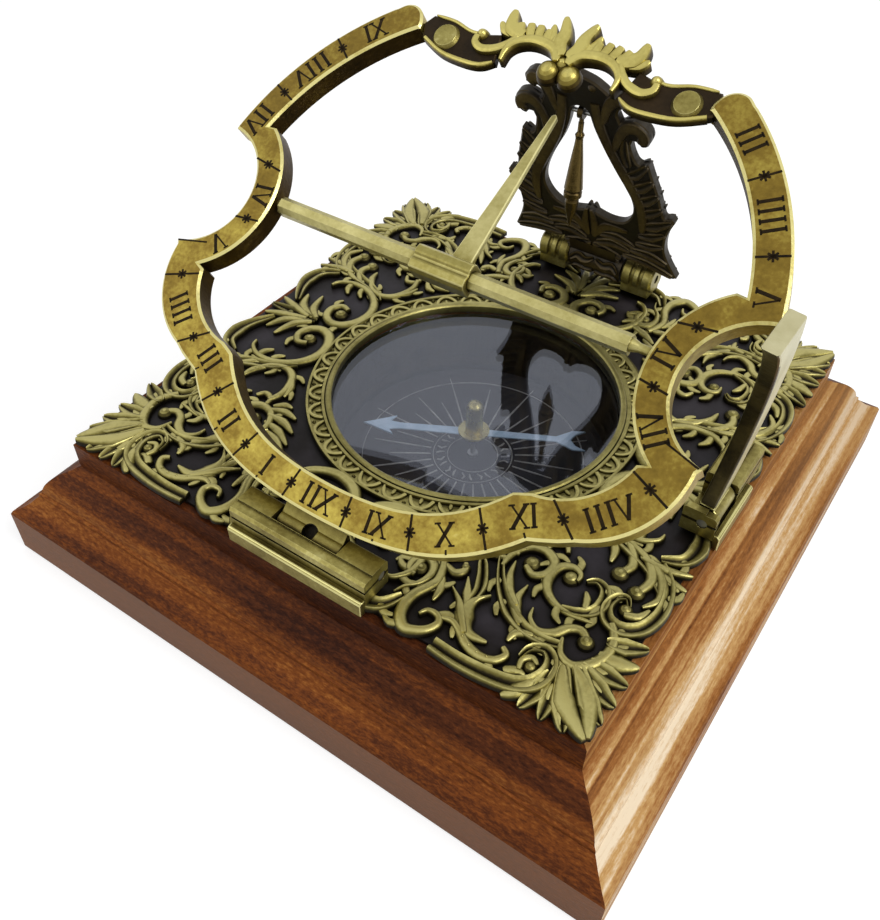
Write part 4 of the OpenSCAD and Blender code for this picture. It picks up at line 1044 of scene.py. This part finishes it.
def card_rose():
    """Fine rays, three thin rings, and small marks between two of them."""
    rose = Shape()
    for k in range(RAYS):
        d, _ = spoke(k, RAYS)
        end = RAY_ENDS[k % 4]
        line = np.array([d * RAY_FROM, d * (end + RAY_FROM) / 2, d * end])
        stroke(rose, line, (0.6, 0.42, 0.16), -0.02, 0.16)
    for radius in (5.6, 8.8, 24.6):
        stroke(rose, circle(96) * radius, (0.3, 0.16, 0.16), -0.02, 0.12, FLAT_TOP)
    for k in range(TICKS):
        d, s = spoke(k, TICKS)
        tick = np.array([d * 6.3 - s * 0.3, d * 7.2 + s * (0.5 if k % 2 else -0.2), d * 8.1 + s * 0.2])
        stroke(rose, tick, (0.6, 0.5, 0.4), -0.02, 0.16)
    marks = rose.make("card_rose", "base", rose_mat, CARD)
    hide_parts("compass_card")


def needle():
    """The needle, with an arrow at one end and a crescent at the other."""
    shape = Shape()
    tip = NEEDLE_LEN
    half = [(7 - tip, 3.0), (5.8 - tip, 1.3), (8 - tip, 0.9), (-2.6, 1.1), (-2.2, 1.9), (0, 2.8),
            (2.2, 1.9), (2.6, 1.0), (tip - 6.4, 0.8), (tip - 4.8, 1.8), (tip - 2.8, 3.0), (tip, 3.0),
            (tip - 2.2, 1.7), (tip - 3.2, 0)]
    outline = np.array([(-tip, 0)] + half + [(x, -y) for x, y in half[-2::-1]])
    slab(shape, [outline, circle(20)[:-1]], -0.4, 0, 0.14, (0.3, 1, 0.6))
    turn = Matrix.Rotation(radians(NEEDLE_TURN + 180), 4, "Z")
    place = Matrix.Translation((0, 0, NEEDLE_Z)) @ turn
    piece = shape.make("needle_blade", "needle", needle_mat, place)
    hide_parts("compass_needle")


# Build

scrollwork()
hour_ring()
crest()
lyre()
foot_leaves()
card_face()
card_rose()
needle()

dress(wood(), ["wood_base"], 0.5)
dress(slate(), ["plate_backing"])
dress(hidden_brass, ["compass_bowl", "plate_screws", "hinge_screws"])
dress(bezel_brass, ["compass_bezel"])
dress(glass(), ["compass_glass"])
dress(cap_mat, ["needle_cap"])
dress(steel_mat, ["pivot_post", "ring_hinge_pin", "arc_hinge_pin", "stand_hinge_pin", "bob_pin"])
dress(rail_brass, ["ring_hinge_block", "arc_hinge_block"], 0.2, bright_edge)
dress(hinge_brass, ["ring_hinge_strip", "arc_hinge_strip", "arc_tongue"], 0.2, bright_edge)
dress(hinge_brass, ["stand_knuckles", "crest_rivets"], 0.15, bright_edge)
dress(tongue_brass, ["ring_tongue"])
dress(bar_brass, ["cross_bar", "gnomon_blade"], 0.2, pale_brass)
dress(boss_brass, ["gnomon_boss"], 0.2, bar_brass)
dress(arc_brass(), ["latitude_arc"], 0.35)
dress(foot_bronze, ["stand_foot"])
dress(bob_brass, ["plumb_bob", "bob_eye"])


# Room, lamps and camera

def seen(m):
    """1 where the camera looks, also through glass or in a mirror, and 0 elsewhere."""
    path = m.add("LightPath").outputs
    direct = m.math("MAXIMUM", path["Is Camera Ray"], path["Is Glossy Ray"])
    return m.math("MAXIMUM", direct, path["Is Transmission Ray"])


FLOOR_HALF = 3.0


def stage():
    """A pale floor that shows white to the camera and keeps the object's shadow."""
    mesh = bpy.data.meshes.new("floor")
    corners = [(x * FLOOR_HALF, y * FLOOR_HALF, 0) for x, y in ((-1, -1), (1, -1), (1, 1), (-1, 1))]
    mesh.from_pydata(corners, [], [(0, 1, 2, 3)])
    m = Nodes("floor_white")
    matte = m.add("BsdfDiffuse", {"Color": linear((176, 176, 176))})
    glow = m.add("Emission", {"Color": WHITE, "Strength": m.math("MULTIPLY", seen(m), 0.68)})
    m.surface("AddShader", {0: matte.outputs[0], 1: glow.outputs[0]})
    mesh.materials.append(m.data)
    floor = put("floor", mesh)

    room = Nodes("room", "worlds", "Background", Color=WHITE)
    room.set("Strength", room.span(seen(room), 0.55, 1.0))
    scene.world = room.data


LAMP_AIM = Vector((0, 0, 0.03))


def lamp(name, at, size, power):
    data = bpy.data.lights.new(name, "AREA")
    data.shape = "DISK"
    data.size = size
    data.energy = power
    obj = put(name, data)
    obj.location = at
    obj.rotation_euler = (LAMP_AIM - Vector(at)).to_track_quat("-Z", "Y").to_euler()


# The photograph's camera: its place in half sides of the plate, its turns about its own axes, in
# degrees, and its lens
CAMERA_AT = Vector((1.3761, -2.2737, 2.2772))
CAMERA_TURNS = [("Z", 33.90), ("X", 90 - 44.74), ("Z", 1.02)]
FOCAL_PX, PHOTO_HEIGHT_PX = 956.8, 920


def camera():
    """The photograph's view: fitted to the square plate, the round glass and the ring's hours."""
    data = bpy.data.cameras.new("camera")
    data.sensor_fit = "VERTICAL"
    data.sensor_height = 36
    data.lens = FOCAL_PX / PHOTO_HEIGHT_PX * data.sensor_height
    data.clip_start = 0.01
    place = Matrix.Translation(CAMERA_AT * PLATE_HALF * MM + Vector((0, 0, PLATE_Z * MM)))
    for axis, degrees in CAMERA_TURNS:
        place = place @ Matrix.Rotation(radians(degrees), 4, axis)
    obj = put("camera", data)
    obj.matrix_world = place
    scene.camera = obj


stage()
lamp("key", (0.55, -0.05, 0.6), 0.5, 4.2)
lamp("fill", (-0.5, -0.5, 0.55), 0.7, 1.0)
camera()
scene.view_settings.view_transform = "Standard"
